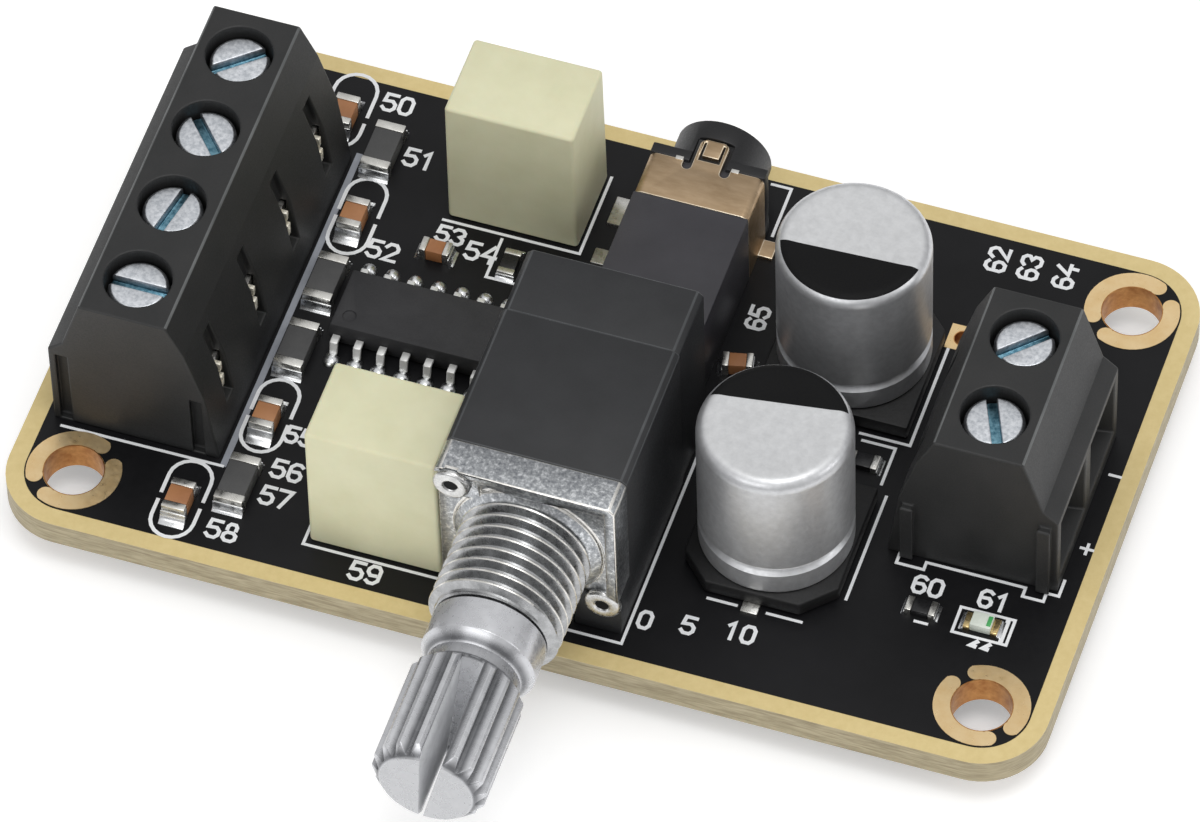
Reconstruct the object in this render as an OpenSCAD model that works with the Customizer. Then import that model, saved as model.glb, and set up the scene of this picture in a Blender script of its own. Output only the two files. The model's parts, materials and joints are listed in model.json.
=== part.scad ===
// Stereo audio amplifier board: screw terminals at both ends, a two-gang volume control with a splined
// shaft at the front, a 3.5 mm input jack at the back, film and electrolytic capacitors and
// surface-mount parts on one circuit board.
// Frame: +Z up, +X along the board towards the supply terminal, +Y towards the jack's mouth.
// Origin: centre of the four mounting holes, on the board's underside.

/* [Board] */
// Length of the board
board_l = 55.5; // [55:0.5:70]
// Width of the board
board_w = 33; // [33:0.5:40]
// Thickness of the board
board_t = 1.6; // [1:0.1:2]
// Radius of the board's corners
corner_r = 3.5; // [2:0.1:4]
// Diameter of the mounting holes
hole_d = 3.2; // [2.8:0.1:3.4]
// Distance of the mounting holes from the board's edges
hole_inset = 3.5; // [3.3:0.05:3.5]
// Outer diameter of the split rings round the mounting holes
ring_d = 4.95; // [4.4:0.05:5]
// Open width between the two halves of a ring
ring_gap = 0.5; // [0.3:0.05:0.8]
// Thickness of the plated foil
foil_t = 0.06; // [0.04:0.01:0.1]
// Length of the pins below the board
pin_drop = 1.8; // [1.4:0.1:2.4]

/* [Screw terminals] */
// Distance between neighbouring poles
pitch = 5.08; // [5:0.04:5.08]
// Depth of a terminal from its wire side to its back
terminal_depth = 9; // [8.8:0.1:9.2]
// Distance of the speaker terminal's wire side from the board's left edge
speaker_inset = 1.35; // [1:0.05:1.4]
// Distance of the supply terminal's wire side from the board's right edge
power_inset = 1.95; // [1.2:0.05:2]
// Middle of the speaker terminal along the board's width
speaker_y = 0.2; // [0:0.05:0.2]
// Middle of the supply terminal along the board's width
power_y = 0; // [-0.5:0.1:0.5]
// Clear height for a wire below the contact bar
wire_gap = 2.7; // [2.4:0.1:3]
// Width of the wire entry at the clamp
entry_w = 3; // [2.4:0.1:3.2]
// Lift of a clamp cage from open to closed
cage_travel = 2; // [1.6:0.1:2.2]
// Thickness of a cage's top and bottom
cage_t = 0.8; // [0.6:0.05:1]
// Length of a cage along the wire
cage_l = 4.4; // [4:0.1:4.6]
// Thickness of the contact bar
contact_t = 0.7; // [0.5:0.05:0.8]
// Diameter of the clamp screw's shank
screw_d = 2.5; // [2:0.1:2.6]
// Diameter of the clamp screw's head
head_d = 3.1; // [2.9:0.05:3.3]
// Height of the clamp screw's head
head_h = 1.15; // [0.9:0.05:1.4]
// Depth of the screw head below the housing's top
head_recess = 0.55; // [0.3:0.05:0.9]
// Width of the screwdriver slot
driver_slot_w = 0.55; // [0.4:0.05:0.8]

/* [Volume control] */
// Middle of the control along the board's length
pot_x = 0.9; // [0.7:0.1:1.1]
// Distance of the control's front face from the board's front edge
pot_inset = 1.75; // [1:0.05:2]
// Width of the control
pot_w = 9.5; // [9.3:0.1:9.7]
// Height of the shaft's axis above the board
axis_h = 6.2; // [6:0.1:7]
// Height of the control above the shaft's axis
pot_rise = 4.8; // [4.6:0.1:5.4]
// Thickness of the die-cast plate
plate_t = 1.95; // [1.5:0.05:2.2]
// Length of the front gang's housing
front_gang_l = 8.5; // [7.5:0.1:8.8]
// Length of the rear gang's housing
rear_gang_l = 4; // [3.8:0.1:4.2]
// Outer diameter of the bushing's thread
bush_d = 7; // [6.9:0.1:7.4]
// Length of the bushing
bush_l = 5.5; // [4:0.1:6]
// Wall of the bushing under its thread
bush_wall = 0.6; // [0.4:0.05:0.7]
// Pitch of the bushing's thread
thread_pitch = 0.7; // [0.5:0.05:1]
// Diameter of the shaft
shaft_d = 6; // [5.6:0.1:6]
// Length of the shaft from the plate's front
shaft_l = 15.5; // [14.5:0.1:20]
// Length of the splined end
spline_l = 6.8; // [5:0.1:7.5]
// Number of spline teeth
spline_teeth = 18; // [16:1:24]
// Width of the slot that splits the spline, at its open side
shaft_slot_w = 1.25; // [1:0.05:1.9]
// Lean of the slot from upright, at mid travel
shaft_slot_lean = 8; // [-20:1:20]

/* [Input jack] */
// Middle of the jack along the board's length
jack_x = 1.7; // [1.5:0.1:2]
// Distance of the jack's mouth from the board's back edge
jack_inset = 1.8; // [1:0.1:2]
// Width of the jack
jack_w = 6.2; // [6:0.1:6.4]
// Height of the jack
jack_h = 5; // [4.8:0.1:5.6]
// Length of the jack's housing without its nose
jack_l = 11.8; // [11:0.1:12]
// Diameter of the round nose
nose_d = 5.1; // [4.8:0.05:5.4]
// Length of the round nose
nose_l = 2.2; // [1.8:0.1:2.4]
// Diameter of the plug's bore
plug_bore_d = 3.6; // [3.5:0.05:3.8]
// Width of the metal collar along the jack
collar_l = 2.7; // [2:0.1:3]

/* [Capacitors] */
// Length of a film capacitor
film_l = 7.1; // [6.6:0.1:7.2]
// Width of a film capacitor
film_w = 5; // [4.5:0.1:5]
// Height of a film capacitor
film_h = 9; // [8:0.1:11]
// Distance between a film capacitor's leads
film_lead_pitch = 5; // [4:0.1:5.2]
// Diameter of an electrolytic can
can_d = 8; // [7.6:0.1:8]
// Height of an electrolytic can's top above the board
can_top = 10.2; // [9:0.1:12]
// Width of a can's square base
can_base_w = 8.2; // [8.1:0.05:8.2]
// Height of a can's base above the board
can_base_h = 1.1; // [0.9:0.05:1.3]

/* [Chips] */
// Length of a ferrite bead
bead_l = 3; // [2.6:0.1:3.2]
// Width of a ferrite bead
bead_w = 1.5; // [1.2:0.05:1.6]
// Height of a ferrite bead
bead_h = 1; // [0.8:0.05:1.4]
// Length of a ceramic capacitor
ceramic_l = 1.9; // [1.6:0.1:2.2]
// Width of a ceramic capacitor
ceramic_w = 1.2; // [0.8:0.05:1.4]
// Height of a ceramic capacitor
ceramic_h = 1.05; // [0.6:0.05:1.4]
// Length of a resistor or small capacitor
small_l = 1.6; // [1.4:0.1:2]
// Width of a resistor or small capacitor
small_w = 0.85; // [0.7:0.05:1.2]
// Height of a resistor
small_h = 0.45; // [0.35:0.05:0.6]
// Length of the amplifier chip's body
ic_l = 9.9; // [9.7:0.1:10]
// Width of the amplifier chip's body
ic_w = 3.9; // [3.7:0.1:4]
// Height of the amplifier chip
ic_h = 1.6; // [1.4:0.05:1.75]
// Distance between the chip's leads
ic_lead_pitch = 1.27; // [1.2:0.01:1.3]
// Reach of a chip lead from the body's side
ic_lead_reach = 1.05; // [0.95:0.05:1.2]

/* [Hidden] */
$fn = 48;
eps = 0.01;

// Running clearances
turn_gap = 0.04;
thread_gap = 0.05;
slide_gap = 0.1;
seat_gap = 0.05;

// Board pins, their drilled holes and their solder
pin_w = 0.9;
pin_t = 0.6;
pin_hole_r = 0.65;
solder_r = 1.1;
solder_tip_r = 0.5;
solder_h = 1.2;

// Mounting holes at the corners
hole_x = board_l / 2 - hole_inset;
hole_y = board_w / 2 - hole_inset;

// Backs of the two terminals
speaker_back_x = -board_l / 2 + speaker_inset + terminal_depth;
power_back_x = board_l / 2 - power_inset - terminal_depth;

// Header pads in a row beside the supply terminal
header_pitch = 2.54;
header_count = 3;
header_x = power_back_x - 0.3;
header_y = 8.7;
header_pad_w = 1.6;
header_hole_r = 0.5;

// Screw terminal, in its own frame: u from the back to the wire side, v along the poles, z above the board
speaker_poles = 4;
power_poles = 2;
end_wall = 0.1;
screw_u = 4.8;
cage_u0 = screw_u - cage_l / 2;
cage_side = 0.5;
contact_w = 2.6;
cage_w = contact_w + 2 * slide_gap + 2 * cage_side + 0.1;
cage_floor_gap = 0.6;
leg_u0 = 0.95;
leg_t = 0.6;
contact_reach = 5.9;
contact_z0 = cage_floor_gap + cage_t + wire_gap;
contact_z1 = contact_z0 + contact_t;
cage_rest_gap = 0.2;
cage_z1 = contact_z1 + cage_rest_gap + cage_t;
tip_gap = 0.1;
ledge_z0 = cage_z1 + cage_travel + 0.15;
ledge_t = 0.3;
head_z0 = ledge_z0 + ledge_t + seat_gap;
head_z1 = head_z0 + head_h;
terminal_h = head_z1 + head_recess;
head_bore_gap = 0.22;
driver_slot_depth = 0.55;

// Side profile of a terminal: sloped back, flat top, sloped front and a lip over the wire entries
back_foot_in = 0.6;
back_foot_z = 4.8;
back_shoulder_in = 1.5;
back_shoulder_drop = 2;
top_back_in = 2.4;
top_front_in = 1.9;
lip_in = 0.8;
lip_z = 5.8;
lip_rise = 0.7;
terminal_profile = [
  [0, 0], [terminal_depth, 0], [terminal_depth, lip_z], [terminal_depth - lip_in, lip_z + lip_rise],
  [terminal_depth - top_front_in, terminal_h], [top_back_in, terminal_h],
  [back_shoulder_in, terminal_h - back_shoulder_drop], [back_foot_in, back_foot_z]
];

// Wire entry, back window and end tongues of a terminal
entry_flare = 0.4;
entry_flare_side = 0.6;
entry_flare_top = 1.2;
entry_z0 = cage_floor_gap + cage_t;
entry_z1 = contact_z0;
window_w = 0.9;
window_z0 = 2;
window_z1 = 4;
window_groove_z = 7.2;
window_groove_in = [0.95, 1.65];
tongue_u = [1.1, terminal_depth - 0.7];
tongue_h = [4.2, 5.2];
tongue_depth = 0.4;
tongue_root_w = 0.5;
tongue_tip_w = 0.75;
tongue_gap = 0.05;
tongue_lift = 0.15;

// Angles of the driver slots as they stand: speaker poles back to front, supply poles front to back
speaker_slot_turns = [40, -48, 79, 0];
power_slot_turns = [-67, 44];

// Volume control, measured back from the plate's front
pot_front_y = -board_w / 2 + pot_inset;
front_face_in = 0.45;
plate_lip_top = 1;
plate_lip_side = 0.6;
plate_step_top = 0.45;
plate_pad = [2.3, 2.2];
plate_pad_in = 0.2;
notch_w = 2.5;
notch_h = 3.1;
pot_edge = 0.3;
rivet_out = [3.85, 3.65];
rivet_head_r = 0.98;
rivet_head_t = 0.35;
rivet_r = 0.5;
rivet_hole_r = 0.32;
rivet_hole_gap = 0.05;
rivet_grip = 1.5;
bush_shoulder_d = bush_d + 0.9;
bush_shoulder_l = 0.15;
thread_depth = 0.35;
bush_bore_d = bush_d - 2 * (thread_depth + bush_wall);
journal_d = bush_bore_d - 2 * turn_gap;
shaft_shoulder_gap = 0.15;
bush_chamfer = 0.4;
neck_l = 0.6;
neck_in = 0.55;
spline_depth = 0.48;
shaft_chamfer = 0.62;
shaft_slit_w = 0.12;
shaft_slot_ramp = 2.6;
stem_r = 2;
stem_hole_r = stem_r + 0.3;
gang_r = 4.2;
element_t = 0.8;
element_gap = 0.05;
element_tab_w = 6.6;
element_tab_z = 1.2;
rotor_r = 3.9;
rotor_t = 1.2;
wiper_t = 0.15;
wiper_r = [2.5, 3.4];
wiper_dome_r = 0.3;
wiper_gap = 0.3;
front_wall = 1.7;
rear_wall = 0.8;
rear_inset = 0.06;
stem_end_in = 1;
pot_pin_pitch = 2.5;
front_element_z = -plate_t - front_gang_l + front_wall;
rear_element_z = -plate_t - front_gang_l - rear_gang_l + rear_wall;
element_zs = [front_element_z, rear_element_z];
stem_z = -plate_t - front_gang_l - rear_gang_l + stem_end_in;

// Input jack, measured inwards from its mouth
jack_mouth_y = board_w / 2 - jack_inset;
jack_back_wall = 0.8;
collar_t = 0.25;
collar_in = nose_l + 0.65;
collar_bend_r = 0.45;
collar_notch = [0.48, 0.55];
tongue_sheet_w = 1.55;
tongue_channel_gap = 0.2;
tongue_end_in = 1.2;
tongue_end_r = 0.4;
tongue_frame = 0.2;
tongue_slit = [0.12, 0.3];
collar_foot = [0.8, 1.1];
collar_left_z = 0.8;
contact_sheet_t = 0.25;
contact_foot_l = 2.45;
contact_foot_w = [1.8, 1];
contact_foot_in = [3.6, 6.7];
contact_pocket_x = [2.7, 1.95];
contact_pocket_l = 5.5;
contact_arm_h = 2.4;

// Capacitor places
film_rear = [-7.8, 10.75];
film_front = [-7.75, -11.05];
film_edge = 0.22;
film_draft = 0.05;
film_stand = 0.05;
can_rear = [11.6, 5.7];
can_front = [11.35, -6.5];
can_tab_t = 0.2;
can_tab_w = 0.9;
can_tab_reach = 0.6;
can_tab_l = 2.6;
can_base_cut = 1.6;
can_foot_r = 0.3;
can_rim_r = 0.7;
can_bead_z = 1.5;
can_bead_h = 0.7;
can_bead_depth = 0.28;

// Chip places: [x, y, turn]
column_gap = 1.53;
column_x = speaker_back_x + column_gap;
column_top_y = 11.05;
column_pitch = 4.515;
column_y = [for (i = [0:5]) column_top_y - i * column_pitch];
corner_chips = [[speaker_back_x - 1.2, 12.65, 90], [speaker_back_x - 0.95, -13.45, 90]];
ceramic_large = concat(corner_chips, [for (i = [1, 4]) [column_x, column_y[i] - 0.15, 90]]);
ceramic_small = [[-11.1, 5.65, 0], [6.05, 3.4, 13]];
bead_places = [for (i = [0, 2, 3, 5]) [column_x, column_y[i], 90]];
lamp_row_y = -8.3;
resistor_places = [[-7.25, 6.15, 90], [power_back_x - 2.75, -0.45, 0], [power_back_x + 2.8, lamp_row_y, 0]];
led_place = [power_back_x + 6, lamp_row_y];
led_l = 1.8;
led_w = 0.9;
led_base_h = 0.3;
led_lens_l = 1.1;
led_lens_h = 0.25;
end_proud = 0.03;
bead_end = 0.5;
ceramic_end = 0.42;
small_end = 0.35;

// Amplifier chip
ic_place = [-9.6, 0.55];
ic_pins = 8;
ic_stand = 0.15;
ic_draft = 0.12;
ic_lead_w = 0.42;
ic_lead_t = 0.2;
ic_dimple_r = 0.35;
ic_dimple_depth = 0.1;
ic_dimple_in = [0.9, 0.9];

// Points of a quarter arc round c, from angle a
function quarter(c, r, a, n = 6) = [for (i = [0:n]) c + r * [cos(a + 90 * i / n), sin(a + 90 * i / n)]];

// Middle of pole i of a terminal along its length
function pole_v(i, poles) = (i - (poles - 1) / 2) * pitch;

// Board positions of every drilled pin
function speaker_pin(i) = [speaker_back_x - leg_u0 - leg_t / 2, speaker_y - pole_v(i, speaker_poles)];
function power_pin(i) = [power_back_x + leg_u0 + leg_t / 2, power_y + pole_v(i, power_poles)];
film_pins = [for (c = [film_rear, film_front], s = [-1, 1]) c + [s * film_lead_pitch / 2, 0]];
pot_pins = [for (z = element_zs, i = [-1:1])
  [pot_x + i * pot_pin_pitch, pot_front_y - z - element_t / 2]];
drilled_pins = concat([for (i = [0:speaker_poles - 1]) speaker_pin(i)],
                      [for (i = [0:power_poles - 1]) power_pin(i)], film_pins, pot_pins);

// Places children on the board's top
module on_board(x = 0, y = 0, turn = 0) translate([x, y, board_t]) rotate([0, 0, turn]) children();

// A pin through the board with its solder below, and its top at height rise
module board_pin(t, w, rise) {
  translate([-t / 2, -w / 2, -board_t - pin_drop]) cube([t, w, board_t + pin_drop + rise]);
  translate([0, 0, -board_t - solder_h]) cylinder(r1 = solder_tip_r, r2 = solder_r, h = solder_h);
}

// A slab with round corners
module round_slab(l, w, t, r) linear_extrude(t) {
  square([l - 2 * r, w], center = true);
  square([l, w - 2 * r], center = true);
  for (sx = [-1, 1], sy = [-1, 1]) translate([sx * (l / 2 - r), sy * (w / 2 - r)]) circle(r);
}

module circuit_board() color("#232326") difference() {
  round_slab(board_l, board_w, board_t, corner_r);
  for (sx = [-1, 1], sy = [-1, 1]) translate([sx * hole_x, sy * hole_y, -1])
    cylinder(d = hole_d, h = board_t + 2);
  for (p = drilled_pins) translate([p[0], p[1], -1]) cylinder(r = pin_hole_r, h = board_t + 2);
  header_places() translate([0, 0, -board_t - 1]) cylinder(r = header_hole_r, h = board_t + 2);
}

// Split ring of foil, with round ends either side of two gaps
module split_ring(turn) linear_extrude(foil_t) rotate(turn) {
  mid_r = (hole_d + ring_d) / 4;
  end_r = (ring_d - hole_d) / 4;
  cut_w = ring_gap + 2 * end_r;
  difference() {
    circle(d = ring_d);
    circle(d = hole_d);
    square([2 * ring_d, cut_w], center = true);
  }
  end_x = sqrt(mid_r * mid_r - cut_w * cut_w / 4);
  for (sx = [-1, 1], sy = [-1, 1]) translate([sx * end_x, sy * cut_w / 2]) circle(end_r);
}

module mounting_rings() color("#cda564") for (sx = [-1, 1], sy = [-1, 1])
  on_board(sx * hole_x, sy * hole_y) split_ring(45 * sx * sy);

module header_places() for (i = [0:header_count - 1])
  on_board(header_x + i * header_pitch, header_y) children();

module header_pads() color("#cda564") header_places() difference() {
  translate([-header_pad_w / 2, -header_pad_w / 2, 0]) cube([header_pad_w, header_pad_w, foil_t]);
  translate([0, 0, -1]) cylinder(r = header_hole_r, h = 2);
}

// Frames of the two terminals: u = 0 at the back, wires enter at u = terminal_depth
module speaker_frame() on_board(speaker_back_x, speaker_y, 180) children();
module power_frame() on_board(power_back_x, power_y) children();

// Dovetail that joins neighbouring housings, grown by gap for its groove
module end_tongue(h, gap) translate([0, 0, tongue_lift - gap]) linear_extrude(h + 2 * gap) polygon([
  [-tongue_root_w / 2 - gap, eps], [tongue_root_w / 2 + gap, eps],
  [tongue_tip_w / 2 + gap, -tongue_depth - gap], [-tongue_tip_w / 2 - gap, -tongue_depth - gap]
]);

// Flared way in for one wire: a plan and a side taper that cross
module wire_entry() {
  chamber_u = cage_u0 + cage_l;
  intersection() {
    translate([0, 0, -1]) linear_extrude(terminal_h) polygon([
      [chamber_u, -entry_w / 2], [terminal_depth + eps, -entry_w / 2 - entry_flare_side],
      [terminal_depth + eps, entry_w / 2 + entry_flare_side], [chamber_u, entry_w / 2]
    ]);
    rotate([90, 0, 0]) linear_extrude(pitch, center = true) polygon([
      [chamber_u, entry_z0], [terminal_depth + eps, entry_z0 - entry_flare],
      [terminal_depth + eps, entry_z1 + entry_flare_top], [chamber_u, entry_z1]
    ]);
  }
}

// Space for one pole's cage, contact, screw and wire, and its window in the back
module pole_space() {
  cage_room_w = cage_w + 2 * slide_gap;
  translate([cage_u0 - slide_gap, -cage_room_w / 2, -1])
    cube([cage_l + 2 * slide_gap, cage_room_w, ledge_z0 + 1]);
  translate([leg_u0 - seat_gap, -contact_w / 2 - slide_gap, -1])
    cube([cage_u0 - leg_u0, contact_w + 2 * slide_gap, contact_z1 + slide_gap + 1]);
  translate([screw_u, 0, 0]) cylinder(d = screw_d + 0.4, h = terminal_h);
  translate([screw_u, 0, head_z0 - seat_gap]) cylinder(d = head_d + 2 * head_bore_gap, h = terminal_h);
  wire_entry();
  translate([-1, -window_w / 2, window_z0]) cube([leg_u0 + 1, window_w, window_z1 - window_z0]);
  rotate([90, 0, 0]) linear_extrude(window_w, center = true) polygon([
    [-1, window_z1 - eps], [window_groove_in[0], window_z1 - eps],
    [window_groove_in[1], window_groove_z], [-1, window_groove_z]
  ]);
}

module terminal_housing(poles) {
  length = poles * pitch + 2 * end_wall;
  difference() {
    union() {
      rotate([90, 0, 0]) linear_extrude(length, center = true) polygon(terminal_profile);
      for (i = [0, 1]) translate([tongue_u[i], -length / 2, 0]) end_tongue(tongue_h[i], 0);
    }
    for (i = [0:poles - 1]) translate([0, pole_v(i, poles), 0]) pole_space();
    for (i = [0, 1]) translate([tongue_u[i], length / 2, 0]) end_tongue(tongue_h[i], tongue_gap);
  }
}

// Bent contact: a leg on the board and the bar that the wire is pressed against
module terminal_contacts(poles) for (i = [0:poles - 1]) translate([leg_u0, pole_v(i, poles), 0]) {
  translate([0, -contact_w / 2, 0]) cube([leg_t, contact_w, contact_z1]);
  translate([0, -contact_w / 2, contact_z0]) cube([contact_reach, contact_w, contact_t]);
  translate([leg_t / 2, 0, 0]) board_pin(pin_t, pin_w, contact_t);
}

// Captive slotted screw that turns in place
module clamp_screw(i, poles, turn)
translate([screw_u, pole_v(i, poles), 0]) rotate([0, 0, turn]) difference() {
  shank_r = screw_d / 2;
  head_r = head_d / 2;
  tip_z = contact_z1 + tip_gap;
  edge = 0.15;
  rotate_extrude() polygon([
    [0, tip_z], [shank_r - 2 * edge, tip_z], [shank_r, tip_z + 2 * edge], [shank_r, head_z0],
    [head_r, head_z0], [head_r, head_z1 - edge], [head_r - edge, head_z1], [0, head_z1]
  ]);
  translate([-head_d, -driver_slot_w / 2, head_z1 - driver_slot_depth])
    cube([2 * head_d, driver_slot_w, head_h]);
}

// Cage that the screw lifts, open along the wire
module clamp_cage(i, poles) translate([cage_u0, pole_v(i, poles), cage_floor_gap]) difference() {
  height = cage_z1 - cage_floor_gap;
  inner_w = cage_w - 2 * cage_side;
  translate([0, -cage_w / 2, 0]) cube([cage_l, cage_w, height]);
  translate([-1, -inner_w / 2, cage_t]) cube([cage_l + 2, inner_w, height - 2 * cage_t]);
  translate([cage_l / 2, 0, height - cage_t - 1]) cylinder(d = screw_d + 2 * thread_gap, h = cage_t + 2);
}

module speaker_terminal_housing() color("#3a3a3c") speaker_frame() terminal_housing(speaker_poles);
module speaker_terminal_contacts() color("#d8d2c0") speaker_frame() terminal_contacts(speaker_poles);
module speaker_clamp_screw(i) color("#d5d8da") speaker_frame()
  clamp_screw(i, speaker_poles, speaker_slot_turns[i]);
module speaker_clamp_cage(i) color("#c9c4b4") speaker_frame() clamp_cage(i, speaker_poles);

module power_terminal_housing() color("#3a3a3c") power_frame() terminal_housing(power_poles);
module power_terminal_contacts() color("#d8d2c0") power_frame() terminal_contacts(power_poles);
module power_clamp_screw(i) color("#d5d8da") power_frame() clamp_screw(i, power_poles, power_slot_turns[i]);
module power_clamp_cage(i) color("#c9c4b4") power_frame() clamp_cage(i, power_poles);

// Frame of the volume control: z forwards along the shaft from the plate's front, y up from the axis
module pot_frame() translate([pot_x, pot_front_y, board_t + axis_h]) rotate([90, 0, 0]) children();

// Block of the control's outline from z0 to z1, with its top edges cut
module pot_block(z0, z1, shrink = 0) translate([0, 0, z0]) linear_extrude(z1 - z0) {
  half = pot_w / 2 - shrink;
  top = pot_rise - shrink;
  polygon([
    [-half, -axis_h], [half, -axis_h], [half, top - pot_edge], [half - pot_edge, top],
    [-half + pot_edge, top], [-half, top - pot_edge]
  ]);
}

// Lower right corner that the front housing fills and the plate leaves free, grown by gap
module plate_notch(z0, z1, gap) translate([pot_w / 2 - notch_w - gap, -axis_h - gap, z0])
  cube([notch_w + 2 * gap, notch_h + 2 * gap, z1 - z0]);

module rivet_holes() for (s = [-1, 1]) translate([s * rivet_out[0], -s * rivet_out[1], -plate_t - rivet_grip])
  cylinder(r = rivet_r + rivet_hole_gap, h = plate_t + rivet_grip + 1);

// Threaded outside of the bushing as rings, from the plate to its chamfered end
module bushing_thread() {
  crest = bush_d / 2;
  root = crest - thread_depth;
  start = bush_shoulder_l;
  turns = floor((bush_l - start - bush_chamfer) / thread_pitch);
  rotate_extrude() polygon(concat(
    [[0, -plate_t], [bush_shoulder_d / 2, -plate_t], [bush_shoulder_d / 2, start - front_face_in],
     [root, start]],
    [for (i = [0:turns - 1], k = [0.4, 0.6, 1]) [k == 1 ? root : crest, start + (i + k) * thread_pitch]],
    [[root, bush_l - eps], [root - eps, bush_l], [0, bush_l]]
  ));
}

module volume_bushing_plate() color("#b9babb") pot_frame() difference() {
  union() {
    difference() {
      pot_block(-plate_t, 0);
      plate_notch(-plate_t - 1, 1, 0.05);
      // sunk face inside the top and right lips, with a raised pad under the upper rivet
      difference() {
        translate([-pot_w, -axis_h - 1, -front_face_in])
          cube([1.5 * pot_w - plate_lip_side, axis_h + 1 + pot_rise - plate_lip_top, 1]);
        translate([-pot_w / 2, pot_rise - plate_lip_top - plate_pad[1] + 1, -plate_t])
          cube([plate_pad[0], plate_pad[1], plate_t - plate_pad_in]);
      }
      // step in the top lip, level with the pad
      translate([-pot_w, pot_rise - plate_lip_top - eps, -plate_pad_in])
        cube([1.5 * pot_w - plate_lip_side, plate_lip_top - plate_step_top, 1]);
      // room round the rivet heads
      translate([-rivet_out[0], rivet_out[1], -plate_pad_in]) cylinder(r = rivet_head_r + 0.2, h = 1);
      translate([rivet_out[0], -rivet_out[1], -front_face_in]) cylinder(r = rivet_head_r + 0.1, h = 1);
    }
    bushing_thread();
  }
  translate([0, 0, -plate_t - 1]) cylinder(d = bush_bore_d, h = plate_t + bush_l + 2);
  rivet_holes();
}

// Round room for one rotor and its element, open towards the front
module gang_room(element_z, front_z) {
  tab_w = element_tab_w + 2 * element_gap;
  translate([0, 0, element_z]) cylinder(r = gang_r, h = front_z - element_z);
  translate([-tab_w / 2, -axis_h - 1, element_z]) cube([tab_w, axis_h + 1, element_t + element_gap]);
}

module volume_front_housing() color("#2b2b2e") pot_frame() difference() {
  union() {
    pot_block(-plate_t - front_gang_l, -plate_t);
    plate_notch(-plate_t - eps, -front_face_in, 0);
  }
  gang_room(front_element_z, -plate_t + eps);
  translate([0, 0, -plate_t - front_gang_l - 1]) cylinder(r = stem_hole_r, h = front_gang_l);
  translate([0, 0, -plate_t]) cylinder(d = bush_shoulder_d + 2 * seat_gap, h = plate_t);
  rivet_holes();
}

module volume_rear_housing() color("#2b2b2e") pot_frame() difference() {
  pot_block(-plate_t - front_gang_l - rear_gang_l, -plate_t - front_gang_l, rear_inset);
  gang_room(rear_element_z, -plate_t - front_gang_l + eps);
}

// Tubular rivets with dished heads: the upper one on the pad, the lower one on the housing
module volume_rivets() color("#cfcfcc") pot_frame() for (s = [-1, 1]) {
  seat = s < 0 ? plate_pad_in : front_face_in;
  tail = seat - plate_t - rivet_grip + eps;
  translate([s * rivet_out[0], -s * rivet_out[1], -seat]) rotate_extrude() polygon(concat(
    [[rivet_hole_r, tail], [rivet_r, tail], [rivet_r, 0], [rivet_head_r, 0]],
    quarter([rivet_head_r - 0.2, rivet_head_t - 0.2], 0.2, 0, 4),
    [[rivet_hole_r + 0.12, rivet_head_t], [rivet_hole_r, rivet_head_t - 0.12]]
  ));
}

// Element boards with a tab down to the pins
module volume_elements() color("#6b4a2f") pot_frame() for (z = element_zs) translate([0, 0, z]) difference() {
  union() {
    cylinder(r = gang_r - element_gap, h = element_t);
    translate([-element_tab_w / 2, -axis_h + element_tab_z, 0])
      cube([element_tab_w, axis_h - element_tab_z, element_t]);
  }
  translate([0, 0, -1]) cylinder(r = stem_hole_r, h = element_t + 2);
}

module volume_terminals() color("#d4d4d0") for (p = pot_pins) on_board(p[0], p[1])
  board_pin(0.8, 0.5, element_tab_z);

// Shaft: stem in the gangs, journal in the bushing, shoulder, neck, and a slotted spline at the tip
module volume_shaft() color("#dcdddd") pot_frame() {
  r = shaft_d / 2;
  spline_z = shaft_l - spline_l;
  root = r - spline_depth;
  tooth = 360 / spline_teeth;
  difference() {
    union() {
      rotate_extrude() polygon([
        [0, stem_z], [stem_r, stem_z], [stem_r, -plate_t], [journal_d / 2, -plate_t],
        [journal_d / 2, bush_l + shaft_shoulder_gap], [r, bush_l + shaft_shoulder_gap],
        [r, spline_z - neck_l - shaft_chamfer], [r - shaft_chamfer, spline_z - neck_l],
        [r - neck_in, spline_z - neck_l], [r - neck_in, spline_z + eps], [0, spline_z + eps]
      ]);
      intersection() {
        translate([0, 0, spline_z]) linear_extrude(spline_l) polygon([
          for (i = [0:spline_teeth - 1], k = [[-0.4, 0], [-0.11, 1], [0.11, 1], [0.4, 0]])
            let (a = (i + k[0]) * tooth, q = k[1] == 1 ? r : root) [q * cos(a), q * sin(a)]
        ]);
        rotate_extrude() polygon([
          [0, spline_z], [r - neck_in, spline_z], [r + eps, spline_z + neck_in],
          [r + eps, shaft_l - shaft_chamfer], [r - shaft_chamfer, shaft_l], [0, shaft_l]
        ]);
      }
    }
    rotate([0, 0, -shaft_slot_lean]) shaft_slot(r, spline_z);
  }
}

// Slot that closes to a slit at its lower side, with a ramp where the cutter ran out
module shaft_slot(r, spline_z) intersection() {
  slot_half = shaft_slot_w / 2;
  slit_half = shaft_slit_w / 2;
  translate([0, 0, spline_z]) linear_extrude(spline_l + 1) polygon([
    [-slit_half, -r - 1], [slit_half, -r - 1], [slit_half, -r], [slot_half, r], [slot_half, r + 1],
    [-slot_half, r + 1], [-slot_half, r], [-slit_half, -r]
  ]);
  rotate([0, -90, 0]) linear_extrude(shaft_d, center = true) polygon([
    [spline_z, r + 1], [shaft_l + 1, r + 1], [shaft_l + 1, -r - 1],
    [spline_z + shaft_slot_ramp, -r - 1], [spline_z + shaft_slot_ramp, -r], [spline_z, r]
  ]);
}

// Height of a wiper's free side above its element
function wiper_z(element_z) = element_z + element_t + wiper_gap;

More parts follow.
